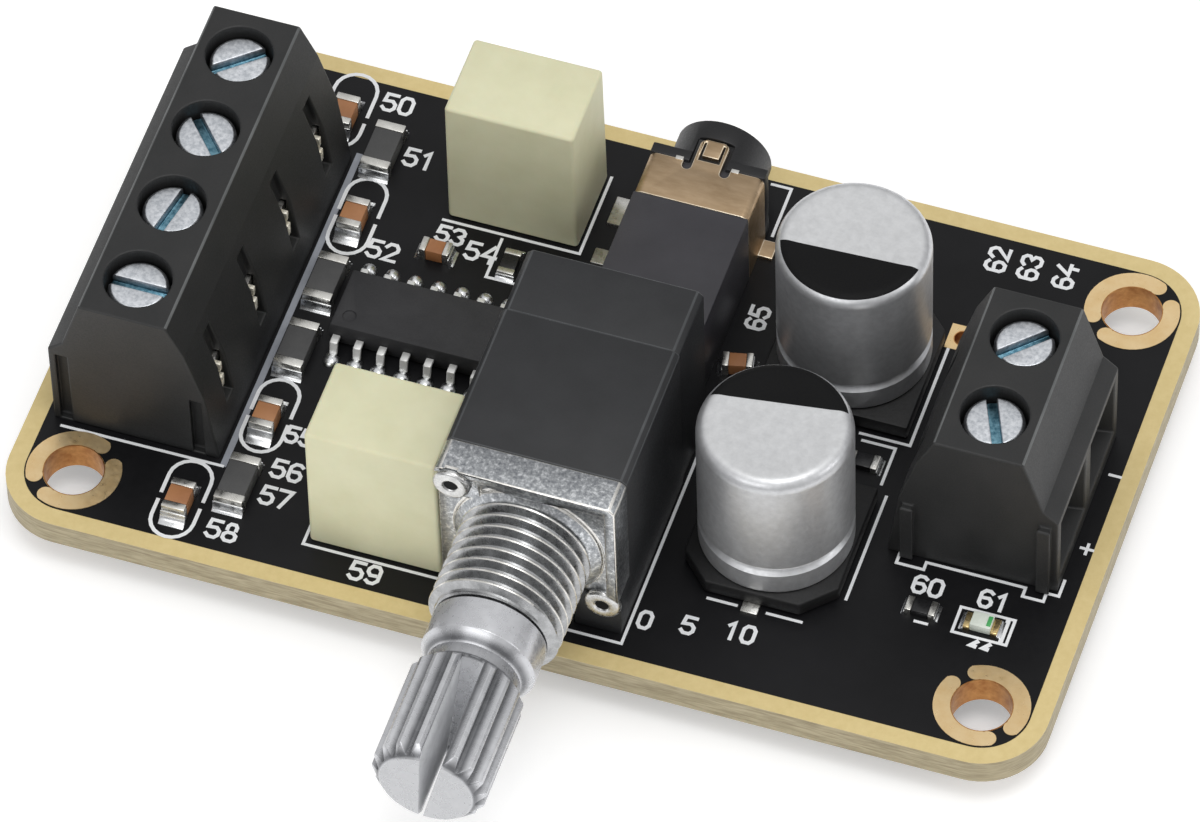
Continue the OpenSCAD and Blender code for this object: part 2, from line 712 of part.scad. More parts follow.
module volume_rotors() color("#e6e2d8") pot_frame() for (z = element_zs)
  translate([0, 0, wiper_z(z) + wiper_t]) difference() {
    cylinder(r = rotor_r, h = rotor_t);
    translate([0, 0, -1]) cylinder(r = stem_r + eps, h = rotor_t + 2);
  }

// Spring rings under the rotors, each with two contact domes towards its element
module volume_wipers() color("#d0a860") pot_frame() for (z = element_zs) translate([0, 0, wiper_z(z)]) {
  difference() {
    cylinder(r = wiper_r[1], h = wiper_t);
    translate([0, 0, -1]) cylinder(r = wiper_r[0], h = wiper_t + 2);
  }
  for (s = [-1, 1]) translate([s * (wiper_r[0] + wiper_r[1]) / 2, 0, -wiper_t])
    cylinder(r = wiper_dome_r, h = wiper_t + eps);
}

// Frame of the jack: y = 0 at the mouth, the body at negative y
module jack_frame() on_board(jack_x, jack_mouth_y) children();

// Cylinder along the jack's bore, from depth d0 to depth d1
module jack_round(d, d0, d1) translate([0, -d0, nose_d / 2]) rotate([90, 0, 0]) cylinder(d = d, h = d1 - d0);

module jack_housing() color("#424246") jack_frame() difference() {
  union() {
    translate([-jack_w / 2, -nose_l - jack_l, 0]) cube([jack_w, jack_l, jack_h]);
    jack_round(nose_d, 0, nose_l + 0.2);
  }
  jack_round(plug_bore_d, -1, nose_l + jack_l - jack_back_wall);
  // rebate for the collar, and the channel for its tongue
  difference() {
    translate([-jack_w, -collar_in - collar_l, -1]) cube([2 * jack_w, collar_l, jack_h + 2]);
    collar_arch(collar_t, collar_in - 1, collar_in + collar_l + 1);
  }
  translate([-tongue_sheet_w / 2 - tongue_channel_gap, -collar_in - eps, jack_h - collar_t])
    cube([tongue_sheet_w + 2 * tongue_channel_gap, collar_in - tongue_end_in + 2 * eps, 1]);
  // pockets beside the bore for the spring contacts
  for (i = [0, 1])
    translate([-contact_pocket_x[0], -contact_foot_in[i] - contact_foot_w[i] / 2 - contact_sheet_t, -eps])
      contact_pocket(i);
}

// Room for contact i: a narrow chamber beside the bore and a way out below the side wall
module contact_pocket(i) {
  depth = contact_foot_w[i] + 2 * contact_sheet_t;
  translate([0, -depth / 2 + contact_foot_w[i] / 2 + contact_sheet_t, 0]) {
    cube([contact_pocket_x[0] - contact_pocket_x[1], depth, contact_arm_h + contact_sheet_t]);
    translate([-1, 0, 0]) cube([1 + eps, depth, 2 * contact_sheet_t]);
  }
}

// Block inside a sheet bent over the jack, shrunk by t, from depth d0 to depth d1
module collar_arch(t, d0, d1) translate([0, -d0, 0]) rotate([90, 0, 0]) linear_extrude(d1 - d0) {
  r = collar_bend_r - t;
  side = jack_w / 2 - t;
  top = jack_h - t;
  polygon(concat([[-side, -1], [side, -1]], quarter([side - r, top - r], r, 0),
                 quarter([r - side, top - r], r, 90)));
}

module jack_collar() color("#a58764") jack_frame() {
  difference() {
    collar_arch(0, collar_in, collar_in + collar_l);
    collar_arch(collar_t, collar_in - 1, collar_in + collar_l + 1);
    translate([-jack_w, -collar_in - collar_l - 1, -2]) cube([2 * jack_w, collar_l + 2, 2]);
    translate([-jack_w / 2 - 1, -collar_in - collar_l - 1, -1]) cube([2, collar_l + 2, collar_left_z + 1]);
    for (s = [-1, 1]) translate([s * (tongue_sheet_w + collar_notch[0]) / 2, -collar_in, jack_h - 1])
      tongue_notch();
  }
  translate([0, -collar_in, jack_h - collar_t]) linear_extrude(collar_t)
    spring_tongue(tongue_sheet_w, collar_in - tongue_end_in - seat_gap);
  translate([jack_w / 2 - eps, -collar_in - collar_foot[1] - collar_t, 0])
    cube([collar_foot[0], collar_foot[1], collar_t]);
}

// Outline of the tongue: a round-ended frame of length l with a tab held at its far end
module spring_tongue(w, l) {
  open_w = w - 2 * tongue_frame;
  open_l = l - 2 * tongue_frame;
  difference() {
    union() {
      translate([-w / 2, -eps]) square([w, l - tongue_end_r]);
      translate([-w / 2 + tongue_end_r, -eps]) square([w - 2 * tongue_end_r, l + eps]);
      for (s = [-1, 1]) translate([s * (w / 2 - tongue_end_r), l - tongue_end_r]) circle(tongue_end_r);
    }
    translate([-open_w / 2, tongue_frame]) square([open_w, open_l]);
  }
  translate([-open_w / 2 + tongue_slit[0], tongue_frame + tongue_slit[1]])
    square([open_w - 2 * tongue_slit[0], open_l - tongue_slit[1] + eps]);
}

// Round-ended notch that frees the tongue
module tongue_notch() {
  r = collar_notch[0] / 2;
  translate([0, r - collar_notch[1], 0]) cylinder(r = r, h = 2);
  translate([-r, r - collar_notch[1], 0]) cube([2 * r, collar_notch[1], 2]);
}

// Bent contacts: a foot on the board and an arm beside the bore
module jack_contacts() color("#d6d4cc") jack_frame() for (i = [0, 1])
  translate([-contact_pocket_x[0] + contact_sheet_t / 2, -contact_foot_in[i] - contact_foot_w[i] / 2, 0]) {
    translate([-contact_foot_l, 0, 0])
      cube([contact_foot_l + contact_sheet_t, contact_foot_w[i], contact_sheet_t]);
    cube([contact_sheet_t, contact_foot_w[i], contact_arm_h]);
  }

// Moulded box with soft edges and a little draft
module film_box() hull() for (sx = [-1, 1], sy = [-1, 1], level = [0, 1])
  translate([sx * (film_l / 2 - film_edge - level * film_draft),
             sy * (film_w / 2 - film_edge - level * film_draft),
             level == 0 ? film_stand + film_edge : film_h - film_edge])
    sphere(film_edge, $fn = 20);

module film_capacitor_rear() color("#e1debe") on_board(film_rear[0], film_rear[1]) film_box();
module film_capacitor_front() color("#e1debe") on_board(film_front[0], film_front[1]) film_box();
module film_capacitor_leads() color("#d4d4d0") for (p = film_pins) on_board(p[0], p[1])
  board_pin(pin_t, pin_t, film_stand);

// Drawn can: curled foot, rolled bead and rounded rim
module can() {
  r = can_d / 2;
  bead_z = can_base_h + can_bead_z;
  waist = [for (i = [0:8]) [r - can_bead_depth * sin(180 * i / 8), bead_z + can_bead_h * i / 8]];
  rotate_extrude() polygon(concat(
    [[0, can_base_h]], quarter([r - can_foot_r, can_base_h + can_foot_r], can_foot_r, -90), waist,
    quarter([r - can_rim_r, can_top - can_rim_r], can_rim_r, 0), [[0, can_top]]
  ));
}

// Square base with two corners cut at one side
module can_base() translate([0, 0, can_tab_t]) linear_extrude(can_base_h - can_tab_t) {
  h = can_base_w / 2;
  polygon([[-h, -h], [h, -h], [h, h - can_base_cut], [h - can_base_cut, h], [-h + can_base_cut, h],
           [-h, h - can_base_cut]]);
}

module can_tabs() for (turn = [0, 180]) rotate([0, 0, turn])
  translate([-can_tab_w / 2, can_base_w / 2 + can_tab_reach - can_tab_l, 0]) cube([can_tab_w, can_tab_l, can_tab_t]);

module electrolytic_can_rear() color("#c4c5c6") on_board(can_rear[0], can_rear[1]) can();
module electrolytic_can_front() color("#c4c5c6") on_board(can_front[0], can_front[1]) can();
module electrolytic_base_rear() color("#202022") on_board(can_rear[0], can_rear[1]) can_base();
module electrolytic_base_front() color("#202022") on_board(can_front[0], can_front[1], 180) can_base();
module electrolytic_tabs() color("#d4d4d0") for (c = [can_rear, can_front]) on_board(c[0], c[1]) can_tabs();

// Chip body with drafted sides and a dimple by the first lead
module amplifier_chip() color("#1d1d1f") on_board(ic_place[0], ic_place[1]) {
  mid = (ic_stand + ic_h) / 2;
  difference() {
    intersection() {
      rotate([90, 0, 90]) linear_extrude(ic_l, center = true) drafted(ic_w / 2, mid);
      rotate([90, 0, 0]) linear_extrude(ic_w, center = true) drafted(ic_l / 2, mid);
    }
    translate([-ic_l / 2 + ic_dimple_in[0], -ic_w / 2 + ic_dimple_in[1], ic_h - ic_dimple_depth])
      cylinder(r = ic_dimple_r, h = 1);
  }
}

// Side view of a moulded body, widest at its parting line
module drafted(half, mid) polygon([
  [-half + ic_draft, ic_stand], [half - ic_draft, ic_stand], [half, mid], [half - ic_draft, ic_h],
  [-half + ic_draft, ic_h], [-half, mid]
]);

// Gull-wing leads along both sides
module amplifier_chip_leads() color("#d8d8d6") on_board(ic_place[0], ic_place[1]) {
  mid = (ic_stand + ic_h) / 2;
  side = ic_w / 2;
  bend = side + 0.35 * ic_lead_reach;
  toe = side + ic_lead_reach;
  t = ic_lead_t;
  for (i = [0:ic_pins - 1], s = [0, 180])
    rotate([0, 0, s]) translate([(i - (ic_pins - 1) / 2) * ic_lead_pitch, 0, 0])
      rotate([90, 0, 90]) linear_extrude(ic_lead_w, center = true) polygon([
        [side, mid - t / 2], [bend, mid - t / 2], [bend + t, 0], [toe, 0], [toe, t], [bend + 1.8 * t, t],
        [bend + t, mid + t / 2], [side, mid + t / 2]
      ]);
}

// Chip parts: a plain body between two plated ends that stand a little proud
module chip_body(l, w, h, e) translate([-l / 2 + e, -w / 2, end_proud]) cube([l - 2 * e, w, h - 2 * end_proud]);
module chip_ends(l, w, h, e) for (s = [0, 1])
  translate([s * (l - e) - l / 2, -w / 2 - end_proud, 0]) cube([e, w + 2 * end_proud, h]);
module at_places(places) for (p = places) on_board(p[0], p[1], p[2]) children();

module ceramic_capacitors() color("#b46e41") {
  at_places(ceramic_large) chip_body(ceramic_l, ceramic_w, ceramic_h, ceramic_end);
  at_places(ceramic_small) chip_body(small_l, small_w, small_w, small_end);
}

module ceramic_capacitor_ends() color("#d9d8d4") {
  at_places(ceramic_large) chip_ends(ceramic_l, ceramic_w, ceramic_h, ceramic_end);
  at_places(ceramic_small) chip_ends(small_l, small_w, small_w, small_end);
}

module ferrite_beads() color("#464646") at_places(bead_places) chip_body(bead_l, bead_w, bead_h, bead_end);
module ferrite_bead_ends() color("#d9d8d4") at_places(bead_places) chip_ends(bead_l, bead_w, bead_h, bead_end);
module resistors() color("#1c1c1e") at_places(resistor_places) chip_body(small_l, small_w, small_h, small_end);
module resistor_ends() color("#d9d8d4") at_places(resistor_places)
  chip_ends(small_l, small_w, small_h, small_end);

// Lamp chip: a pale base with a clear block over the die
module indicator_led() color("#dfe8d8") on_board(led_place[0], led_place[1]) {
  chip_body(led_l, led_w, led_base_h + end_proud, small_end);
  translate([-led_lens_l / 2, -led_w / 2, led_base_h]) cube([led_lens_l, led_w, led_lens_h]);
}

module indicator_led_ends() color("#d9c48c") on_board(led_place[0], led_place[1])
  chip_ends(led_l, led_w, led_base_h, small_end);

circuit_board();
mounting_rings();
header_pads();
speaker_terminal_housing();
speaker_terminal_contacts();
speaker_clamp_screw(0);  // speaker_clamp_screw_1
speaker_clamp_screw(1);  // speaker_clamp_screw_2
speaker_clamp_screw(2);  // speaker_clamp_screw_3
speaker_clamp_screw(3);  // speaker_clamp_screw_4
speaker_clamp_cage(0);  // speaker_clamp_cage_1
speaker_clamp_cage(1);  // speaker_clamp_cage_2
speaker_clamp_cage(2);  // speaker_clamp_cage_3
speaker_clamp_cage(3);  // speaker_clamp_cage_4
power_terminal_housing();
power_terminal_contacts();
power_clamp_screw(0);  // power_clamp_screw_1
power_clamp_screw(1);  // power_clamp_screw_2
power_clamp_cage(0);  // power_clamp_cage_1
power_clamp_cage(1);  // power_clamp_cage_2
volume_bushing_plate();
volume_front_housing();
volume_rear_housing();
volume_rivets();
volume_elements();
volume_terminals();
volume_shaft();
volume_rotors();
volume_wipers();
jack_housing();
jack_collar();
jack_contacts();
film_capacitor_rear();
film_capacitor_front();
film_capacitor_leads();
electrolytic_can_rear();
electrolytic_can_front();
electrolytic_base_rear();
electrolytic_base_front();
electrolytic_tabs();
amplifier_chip();
amplifier_chip_leads();
ceramic_capacitors();
ceramic_capacitor_ends();
ferrite_beads();
ferrite_bead_ends();
resistors();
resistor_ends();
indicator_led();
indicator_led_ends();
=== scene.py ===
"""Looks, light and camera for the audio amplifier board."""
import json
import math

import bmesh
import bpy
from mathutils import Matrix, Vector


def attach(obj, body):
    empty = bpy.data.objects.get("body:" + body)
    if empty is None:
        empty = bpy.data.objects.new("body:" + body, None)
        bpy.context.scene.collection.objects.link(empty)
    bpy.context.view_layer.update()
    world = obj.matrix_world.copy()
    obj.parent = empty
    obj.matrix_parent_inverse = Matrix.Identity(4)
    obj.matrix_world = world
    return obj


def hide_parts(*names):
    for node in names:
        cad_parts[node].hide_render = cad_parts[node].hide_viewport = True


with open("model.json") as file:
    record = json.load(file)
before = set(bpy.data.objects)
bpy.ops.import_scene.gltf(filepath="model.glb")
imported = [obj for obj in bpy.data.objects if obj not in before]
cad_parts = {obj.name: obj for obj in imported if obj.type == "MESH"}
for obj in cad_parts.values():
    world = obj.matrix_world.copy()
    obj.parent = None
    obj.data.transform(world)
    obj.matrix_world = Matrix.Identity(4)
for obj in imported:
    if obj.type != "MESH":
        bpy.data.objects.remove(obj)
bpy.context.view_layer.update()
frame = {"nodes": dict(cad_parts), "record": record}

record = frame["record"]
slot_of = {part["node"]: part["material_slot"] for part in record["subparts"]}
body_of = {node: body for body, members in record["behaviour"]["bodies"].items() for node in members}

# Lengths below are millimetres in the part's own frame; the board's underside is z = 0.
MM = 0.001
BOARD_L, BOARD_W, BOARD_T = 55.5, 33.0, 1.6
CORNER_R = 3.5
BORDER = 0.95                           # bare laminate around the mask
MASK_T, UNDER_MASK_T = 0.03, 0.025
INK_T = 0.015
TOP = BOARD_T + MASK_T
HOLE_R, HOLE_X, HOLE_Y = 1.6, 24.25, 13.0
HEADER_R, HEADER_X, HEADER_Y, HEADER_PITCH = 0.5, 16.5, 8.7, 2.54
HOLES = [(sx * HOLE_X, sy * HOLE_Y) for sx in (-1, 1) for sy in (-1, 1)]
HEADER_HOLES = [(HEADER_X + HEADER_PITCH * i, HEADER_Y) for i in range(3)]
CAN_R, CAN_FOOT, CAN_TOP, CAN_RIM = 4.0, 2.7, 11.8, 0.7
DISH_R, DISH_RIM, DISH = 2.9, 0.025, 0.03    # the shallow hollow in a can's top
SLOT_FLOOR, SLOT_RIM = 10.54, 10.72     # heights in a clamp screw's driver slot
POLE_PITCH = 5.08
JACK_X, JACK_NOSE = 1.7, 11.7           # the jack's middle, and where its round nose starts
AXIS_X, AXIS_Z = 0.9, 7.8               # the volume shaft's axis
SHAFT_R, GROOVE_R = 3.0, 2.35           # the spline's teeth, and just below its grooves
SPLINE_START, SHAFT_TIP = -23.5, -30.25


# Finishes

def tone(r, g, b):
    """Linear colour from the usual 0 to 255 values."""
    def linear(v):
        v /= 255
        return v / 12.92 if v <= 0.04045 else ((v + 0.055) / 1.055) ** 2.4
    return (linear(r), linear(g), linear(b), 1.0)


class Finish:
    """A Principled finish whose patterns read Object coordinates, counted in millimetres."""

    def __init__(self, name, **sockets):
        self.name = name
        self.material = bpy.data.materials.new(name)
        self.material.use_nodes = True
        self.tree = self.material.node_tree
        self.tree.nodes.clear()
        self.shader = self.add("ShaderNodeBsdfPrincipled")
        out = self.add("ShaderNodeOutputMaterial")
        self.link(self.shader.outputs[0], out.inputs["Surface"])
        self.coord = self.add("ShaderNodeTexCoord").outputs["Object"]
        for socket, value in sockets.items():
            self.shader.inputs[socket.replace("_", " ")].default_value = value

    def add(self, kind):
        return self.tree.nodes.new(kind)

    def link(self, a, b):
        self.tree.links.new(a, b)

    def place(self, stretch=(1, 1, 1), shift=(0, 0, 0)):
        """Coordinates in millimetres, stretched and then shifted."""
        node = self.add("ShaderNodeMapping")
        node.inputs["Scale"].default_value = [s / MM for s in stretch]
        node.inputs["Location"].default_value = shift
        self.link(self.coord, node.inputs["Vector"])
        return node.outputs[0]

    def noise(self, scale, detail=3.0, rough=0.55, stretch=(1, 1, 1)):
        node = self.add("ShaderNodeTexNoise")
        node.inputs["Scale"].default_value = scale
        node.inputs["Detail"].default_value = detail
        node.inputs["Roughness"].default_value = rough
        self.link(self.place(stretch), node.inputs["Vector"])
        return node.outputs["Fac"]

    def height(self, low, high, axis="Z"):
        """0 at low to 1 at high along an axis."""
        split = self.add("ShaderNodeSeparateXYZ")
        self.link(self.place(), split.inputs[0])
        return self.spread(split.outputs[axis], 0.0, 1.0, low, high)

    def spread(self, fac, low, high, start=0.0, stop=1.0):
        """Values from start to stop, moved to low to high."""
        node = self.add("ShaderNodeMapRange")
        for socket, value in (("From Min", start), ("From Max", stop), ("To Min", low), ("To Max", high)):
            node.inputs[socket].default_value = value
        self.link(fac, node.inputs["Value"])
        return node.outputs[0]

    def ramp(self, fac, *stops):
        node = self.add("ShaderNodeValToRGB")
        elements = node.color_ramp.elements
        while len(elements) < len(stops):
            elements.new(0.5)
        for element, (where, colour) in zip(elements, stops):
            element.position = where
            element.color = colour
        self.link(fac, node.inputs["Fac"])
        return node.outputs["Color"]

    def mix(self, fac, a, b):
        node = self.add("ShaderNodeMix")
        node.data_type = "RGBA"
        self.link(fac, node.inputs[0])
        self.link(a, node.inputs[6])
        self.link(b, node.inputs[7])
        return node.outputs[2]

    def colour(self, socket):
        self.link(socket, self.shader.inputs["Base Color"])
        return self

    def shades(self, fac, *stops):
        return self.colour(self.ramp(fac, *stops))

    def sheen_from(self, fac, low, high):
        """Roughness that follows a pattern."""
        self.link(self.spread(fac, low, high, 0.3, 0.7), self.shader.inputs["Roughness"])
        return self

    def relief(self, fac, depth):
        """Bumps of the given depth in millimetres, on top of any earlier ones."""
        node = self.add("ShaderNodeBump")
        node.inputs["Strength"].default_value = 1.0
        node.inputs["Distance"].default_value = depth * MM
        self.link(fac, node.inputs["Height"])
        links = self.shader.inputs["Normal"].links
        if links:
            self.link(links[0].from_socket, node.inputs["Normal"])
        self.link(node.outputs[0], self.shader.inputs["Normal"])
        return self


def plastic(name, dark, light, rough, grain=9.0, depth=0.004, **sockets):
    """Moulded plastic: slow drift of tone, fine grain in gloss and relief."""
    f = Finish(name, **sockets)
    f.shades(f.noise(0.45, 4), (0.3, tone(*dark)), (0.7, tone(*light)))
    fine = f.noise(grain, 3, 0.65)
    f.sheen_from(fine, rough - 0.07, rough + 0.09)
    return f.relief(fine, depth)


def metal(name, dark, light, rough, grain=6.0, depth=0.003, stretch=(1, 1, 1), **sockets):
    """Bare or plated metal: mottled tone, with the grain drawn out along stretch."""
    f = Finish(name, **{"Metallic": 1.0, **sockets})
    f.shades(f.noise(grain * 0.35, 5, 0.6, stretch), (0.32, tone(*dark)), (0.68, tone(*light)))
    fine = f.noise(grain, 4, 0.6, stretch)
    f.sheen_from(fine, rough - 0.08, rough + 0.1)
    return f.relief(fine, depth)


def laminate_finish():
    """Bare glass laminate: tan on the face, grey-tan layers along the cut edge."""
    f = Finish("laminate", Specular_IOR_Level=0.35)
    weave = f.noise(2.2, 5, 0.6)
    face = f.ramp(weave, (0.3, tone(219, 197, 138)), (0.7, tone(227, 206, 149)))
    layers = f.noise(3.0, 4, 0.6, (0.25, 0.25, 3.0))
    edge = f.ramp(layers, (0.3, tone(138, 126, 98)), (0.55, tone(172, 160, 130)), (0.75, tone(190, 178, 146)))
    f.colour(f.mix(f.height(BOARD_T - 0.05, BOARD_T - 0.01), edge, face))
    f.sheen_from(weave, 0.45, 0.62)
    return f.relief(layers, 0.006)


def mask_finish():
    """Black solder mask with the faint levels of the copper below it."""
    f = Finish("solder_mask", Specular_IOR_Level=0.22)
    f.shades(f.noise(0.22, 3), (0.35, tone(15, 15, 17)), (0.65, tone(22, 22, 24)))
    fine = f.noise(3.5, 4)
    f.sheen_from(fine, 0.34, 0.46)
    return f.relief(fine, 0.002)


def turned_finish():
    """Turned and milled aluminium, duller on its tip, with painted shade that darkens it down in the grooves
    of the spline.
    """
    f = Finish("turned_aluminium", Metallic=0.65)
    streak = f.noise(1.6, 4, 0.6)
    flank = f.ramp(streak, (0.3, tone(198, 199, 202)), (0.7, tone(212, 213, 216)))
    tip = f.ramp(streak, (0.3, tone(186, 187, 189)), (0.7, tone(194, 195, 197)))
    bright = f.mix(f.height(SHAFT_TIP + 0.02, SHAFT_TIP + 0.06, "Y"), tip, flank)
    # painted shade: a darker tone down in the spline's grooves
    groove_shade = f.ramp(streak, (0.3, tone(112, 113, 116)), (0.7, tone(130, 131, 134)))
    reach = f.add("ShaderNodeVectorMath")
    reach.operation = "LENGTH"
    f.link(f.place((1, 0, 1), (-AXIS_X, 0, -AXIS_Z)), reach.inputs[0])
    none, full = (0, 0, 0, 1), (1, 1, 1, 1)
    # where the painted groove shade falls: a band of distance from the shaft's axis, below the teeth
    depth = f.ramp(f.spread(reach.outputs["Value"], 0.0, 1.0, 2.2, SHAFT_R),
                   (0.27, none), (0.38, full), (0.5, full), (0.82, none))
    f.colour(f.mix(depth, bright, groove_shade))
    return f.sheen_from(streak, 0.24, 0.32)


def cast_finish():
    """Die-cast zinc: a grey skin with fine bright specks."""
    f = Finish("die_cast_zinc", Metallic=1.0)
    speck = f.noise(4.5, 6, 0.75)
    f.shades(speck, (0.36, tone(132, 135, 140)), (0.52, tone(176, 179, 182)), (0.66, tone(240, 242, 244)))
    f.sheen_from(speck, 0.4, 0.26)
    return f.relief(speck, 0.008)


def screw_finish():
    """Bright zinc, bluish and darker down in the driver slots."""
    f = Finish("zinc_screw", Metallic=1.0)
    speck = f.noise(4.5, 5, 0.65)
    bright = f.ramp(speck, (0.34, tone(192, 197, 203)), (0.62, tone(236, 239, 243)))
    slot = f.ramp(speck, (0.34, tone(62, 104, 122)), (0.62, tone(126, 168, 184)))
    f.colour(f.mix(f.height(SLOT_FLOOR, SLOT_RIM), slot, bright))
    f.sheen_from(speck, 0.34, 0.46)
    return f.relief(speck, 0.006)


def jack_finish():
    """Moulded plastic, greyer on the body than on the nose."""
    f = Finish("jack_plastic")
    drift = f.noise(0.45, 4)
    body = f.ramp(drift, (0.3, tone(52, 51, 56)), (0.7, tone(60, 59, 64)))
    nose = f.ramp(drift, (0.3, tone(16, 16, 18)), (0.7, tone(22, 22, 24)))
    f.colour(f.mix(f.height(JACK_NOSE, JACK_NOSE + 0.25, "Y"), body, nose))
    fine = f.noise(10.0, 3, 0.65)
    f.sheen_from(fine, 0.4, 0.55)
    return f.relief(fine, 0.004)


def can_finish():
    """Drawn aluminium can, with a painted highlight that makes its flat top brighter than its side."""
    f = Finish("can_aluminium", Metallic=0.72)
    drift = f.noise(2.5, 5, 0.6)
    side = f.ramp(drift, (0.32, tone(196, 197, 199)), (0.68, tone(212, 213, 215)))
    # painted highlight: a lighter copy of the tone for the can's flat top
    top = f.ramp(drift, (0.32, tone(214, 215, 216)), (0.68, tone(228, 229, 230)))
    f.colour(f.mix(f.height(CAN_TOP - 0.12, CAN_TOP - 0.04), side, top))
    fine = f.noise(7.0, 4, 0.6)
    f.sheen_from(fine, 0.3, 0.48)
    return f.relief(fine, 0.0012)


def film_case_finish():
    """Cream moulded case, faintly waxy."""
    f = Finish("film_case", Subsurface_Weight=0.1, Subsurface_Scale=0.0006, Specular_IOR_Level=0.35)
    f.shades(f.noise(0.5, 4), (0.3, tone(218, 216, 180)), (0.7, tone(226, 224, 190)))
    fine = f.noise(7.0, 3)
    f.sheen_from(fine, 0.42, 0.56)
    return f.relief(fine, 0.003)


FINISH = {made.name: made for made in (
    laminate_finish(),
    mask_finish(),
    metal("gold_foil", (240, 206, 150), (250, 222, 172), 0.34, 3.0, 0.0003, Metallic=0.85),
    metal("hole_plating", (170, 112, 62), (210, 156, 96), 0.35, 5.0),
    plastic("white_ink", (232, 234, 236), (246, 247, 248), 0.6, 14.0, 0.003),
    # painted shadow: the white ink painted grey where the speaker terminal's shadow lies on its outline
    plastic("shaded_white_ink", (138, 142, 150), (166, 170, 178), 0.6, 14.0, 0.003),
    metal("solder", (206, 208, 210), (240, 241, 242), 0.27, 3.0, 0.003),
    plastic("terminal_plastic", (30, 31, 31), (38, 38, 38), 0.52, 11.0, 0.006),
    # painted highlight: lighter plastic along the terminals' long top edges
    plastic("terminal_edge_highlight", (78, 80, 80), (104, 106, 106), 0.45, 11.0, 0.006),
    screw_finish(),
    metal("clamp_steel", (168, 164, 152), (200, 196, 184), 0.36, 4.0, 0.004, (1, 1, 0.2)),
    metal("tinned_contact", (206, 204, 198), (236, 235, 230), 0.28, 4.0, 0.003),
    cast_finish(),
    metal("threaded_zinc", (150, 151, 152), (186, 187, 188), 0.27, 4.0, 0.001),
    # painted highlight: a bright zinc for the thread's crests and the plate's eased edges
    metal("highlight_zinc", (214, 212, 206), (246, 244, 240), 0.3, 6.0, 0.002),
    plastic("control_plastic", (32, 33, 35), (40, 41, 43), 0.48, 10.0, 0.005),
    # painted highlight: lighter plastic along the top edges of the control's housings
    plastic("control_edge_highlight", (58, 60, 62), (78, 80, 82), 0.45, 12.0, 0.005),
    metal("rivet_steel", (196, 196, 195), (232, 232, 231), 0.28, 5.0, 0.002),
    turned_finish(),
    # painted light: the slot's milled walls get a lighter, less metallic copy of the aluminium
    metal("lit_milled_slot", (200, 201, 203), (218, 219, 221), 0.42, 3.0, 0.001, Metallic=0.15),
    metal("lead_tin", (224, 224, 222), (246, 246, 244), 0.34, 4.0, 0.001, Metallic=0.45),
    # painted highlight: a brighter copy of the contacts' tin, for the glints in the terminal's windows
    metal("leg_tin_glint", (236, 228, 204), (252, 248, 236), 0.3, 5.0, 0.001, Metallic=0.5),
    plastic("element_board", (96, 62, 36), (122, 82, 50), 0.55, 6.0),
    plastic("rotor_plastic", (222, 216, 202), (234, 229, 216), 0.5, 7.0),
    metal("spring_bronze", (190, 142, 78), (216, 172, 104), 0.32, 5.0),
    jack_finish(),
    metal("collar_brass", (166, 142, 112), (190, 166, 136), 0.42, 5.0, 0.002, (0.3, 1, 1)),
    # painted highlight: bright cream metal on the collar's eased edges
    metal("collar_edge_highlight", (226, 208, 180), (248, 236, 214), 0.32, 5.0, 0.001),
    film_case_finish(),
    can_finish(),
    plastic("can_base", (11, 11, 12), (17, 17, 18), 0.55, 9.0),
    # black print on the cans' tops, and painted shade down in the rivets' bores
    plastic("black_print_and_bore_shade", (4, 4, 5), (8, 8, 9), 0.6, 10.0, 0.001, Specular_IOR_Level=0.2),
    plastic("chip_moulding", (40, 40, 42), (50, 50, 52), 0.64, 13.0, 0.006),
    plastic("brown_ceramic", (156, 102, 62), (184, 130, 88), 0.5, 8.0, 0.004),
    plastic("grey_ferrite", (66, 66, 67), (84, 84, 84), 0.6, 9.0, 0.006),
    plastic("resistor_glaze", (20, 20, 22), (30, 30, 32), 0.32, 8.0, 0.002),
    plastic("led_epoxy", (214, 222, 208), (232, 238, 228), 0.25, 5.0, 0.002, Coat_Weight=0.4),
    metal("led_gold", (216, 186, 128), (240, 216, 160), 0.3, 5.0, 0.002),
    plastic("led_green", (58, 150, 84), (84, 178, 104), 0.35, 8.0, 0.002),
)}


# Making pieces

CAD_WELD, WELD, FINE_WELD = 0.002, 0.001, 0.0005
FLAT_WITHIN = 1.0       # degrees between faces that count as one
SHORTEST_EDGE = 0.012   # shorter ones go before a bevel
EDGE_STEPS = 2


def piece(name, bm, finish, body="board", replaced=(), smooth=30, edge=None):
    """Finish a bmesh in millimetres as a piece that rides on a body; edge names its second finish."""
    bmesh.ops.scale(bm, vec=(MM, MM, MM), verts=bm.verts)
    mesh = bpy.data.meshes.new(name)
    bm.to_mesh(mesh)
    bm.free()
    for used in (finish, edge) if edge else (finish,):
        mesh.materials.append(FINISH[used].material)
    mesh.shade_smooth()
    mesh.set_sharp_from_angle(angle=math.radians(smooth))
    obj = bpy.data.objects.new(name, mesh)
    bpy.context.scene.collection.objects.link(obj)
    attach(obj, body)
    if replaced:
        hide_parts(*replaced)


def copied(node):
    """The merged mesh of a CAD node, in millimetres, with its flat faces whole."""
    bm = bmesh.new()
    bm.from_mesh(frame["nodes"][node].data)
    bmesh.ops.scale(bm, vec=(1 / MM,) * 3, verts=bm.verts)
    bmesh.ops.remove_doubles(bm, verts=bm.verts, dist=CAD_WELD)
    bmesh.ops.dissolve_limit(bm, angle_limit=math.radians(FLAT_WITHIN), verts=bm.verts, edges=bm.edges,
                             use_dissolve_boundaries=False, delimit=set())
    return bm


def box_of(bm):
    """Lowest and highest value along each axis."""
    return [(min(v.co[k] for v in bm.verts), max(v.co[k] for v in bm.verts)) for k in range(3)]


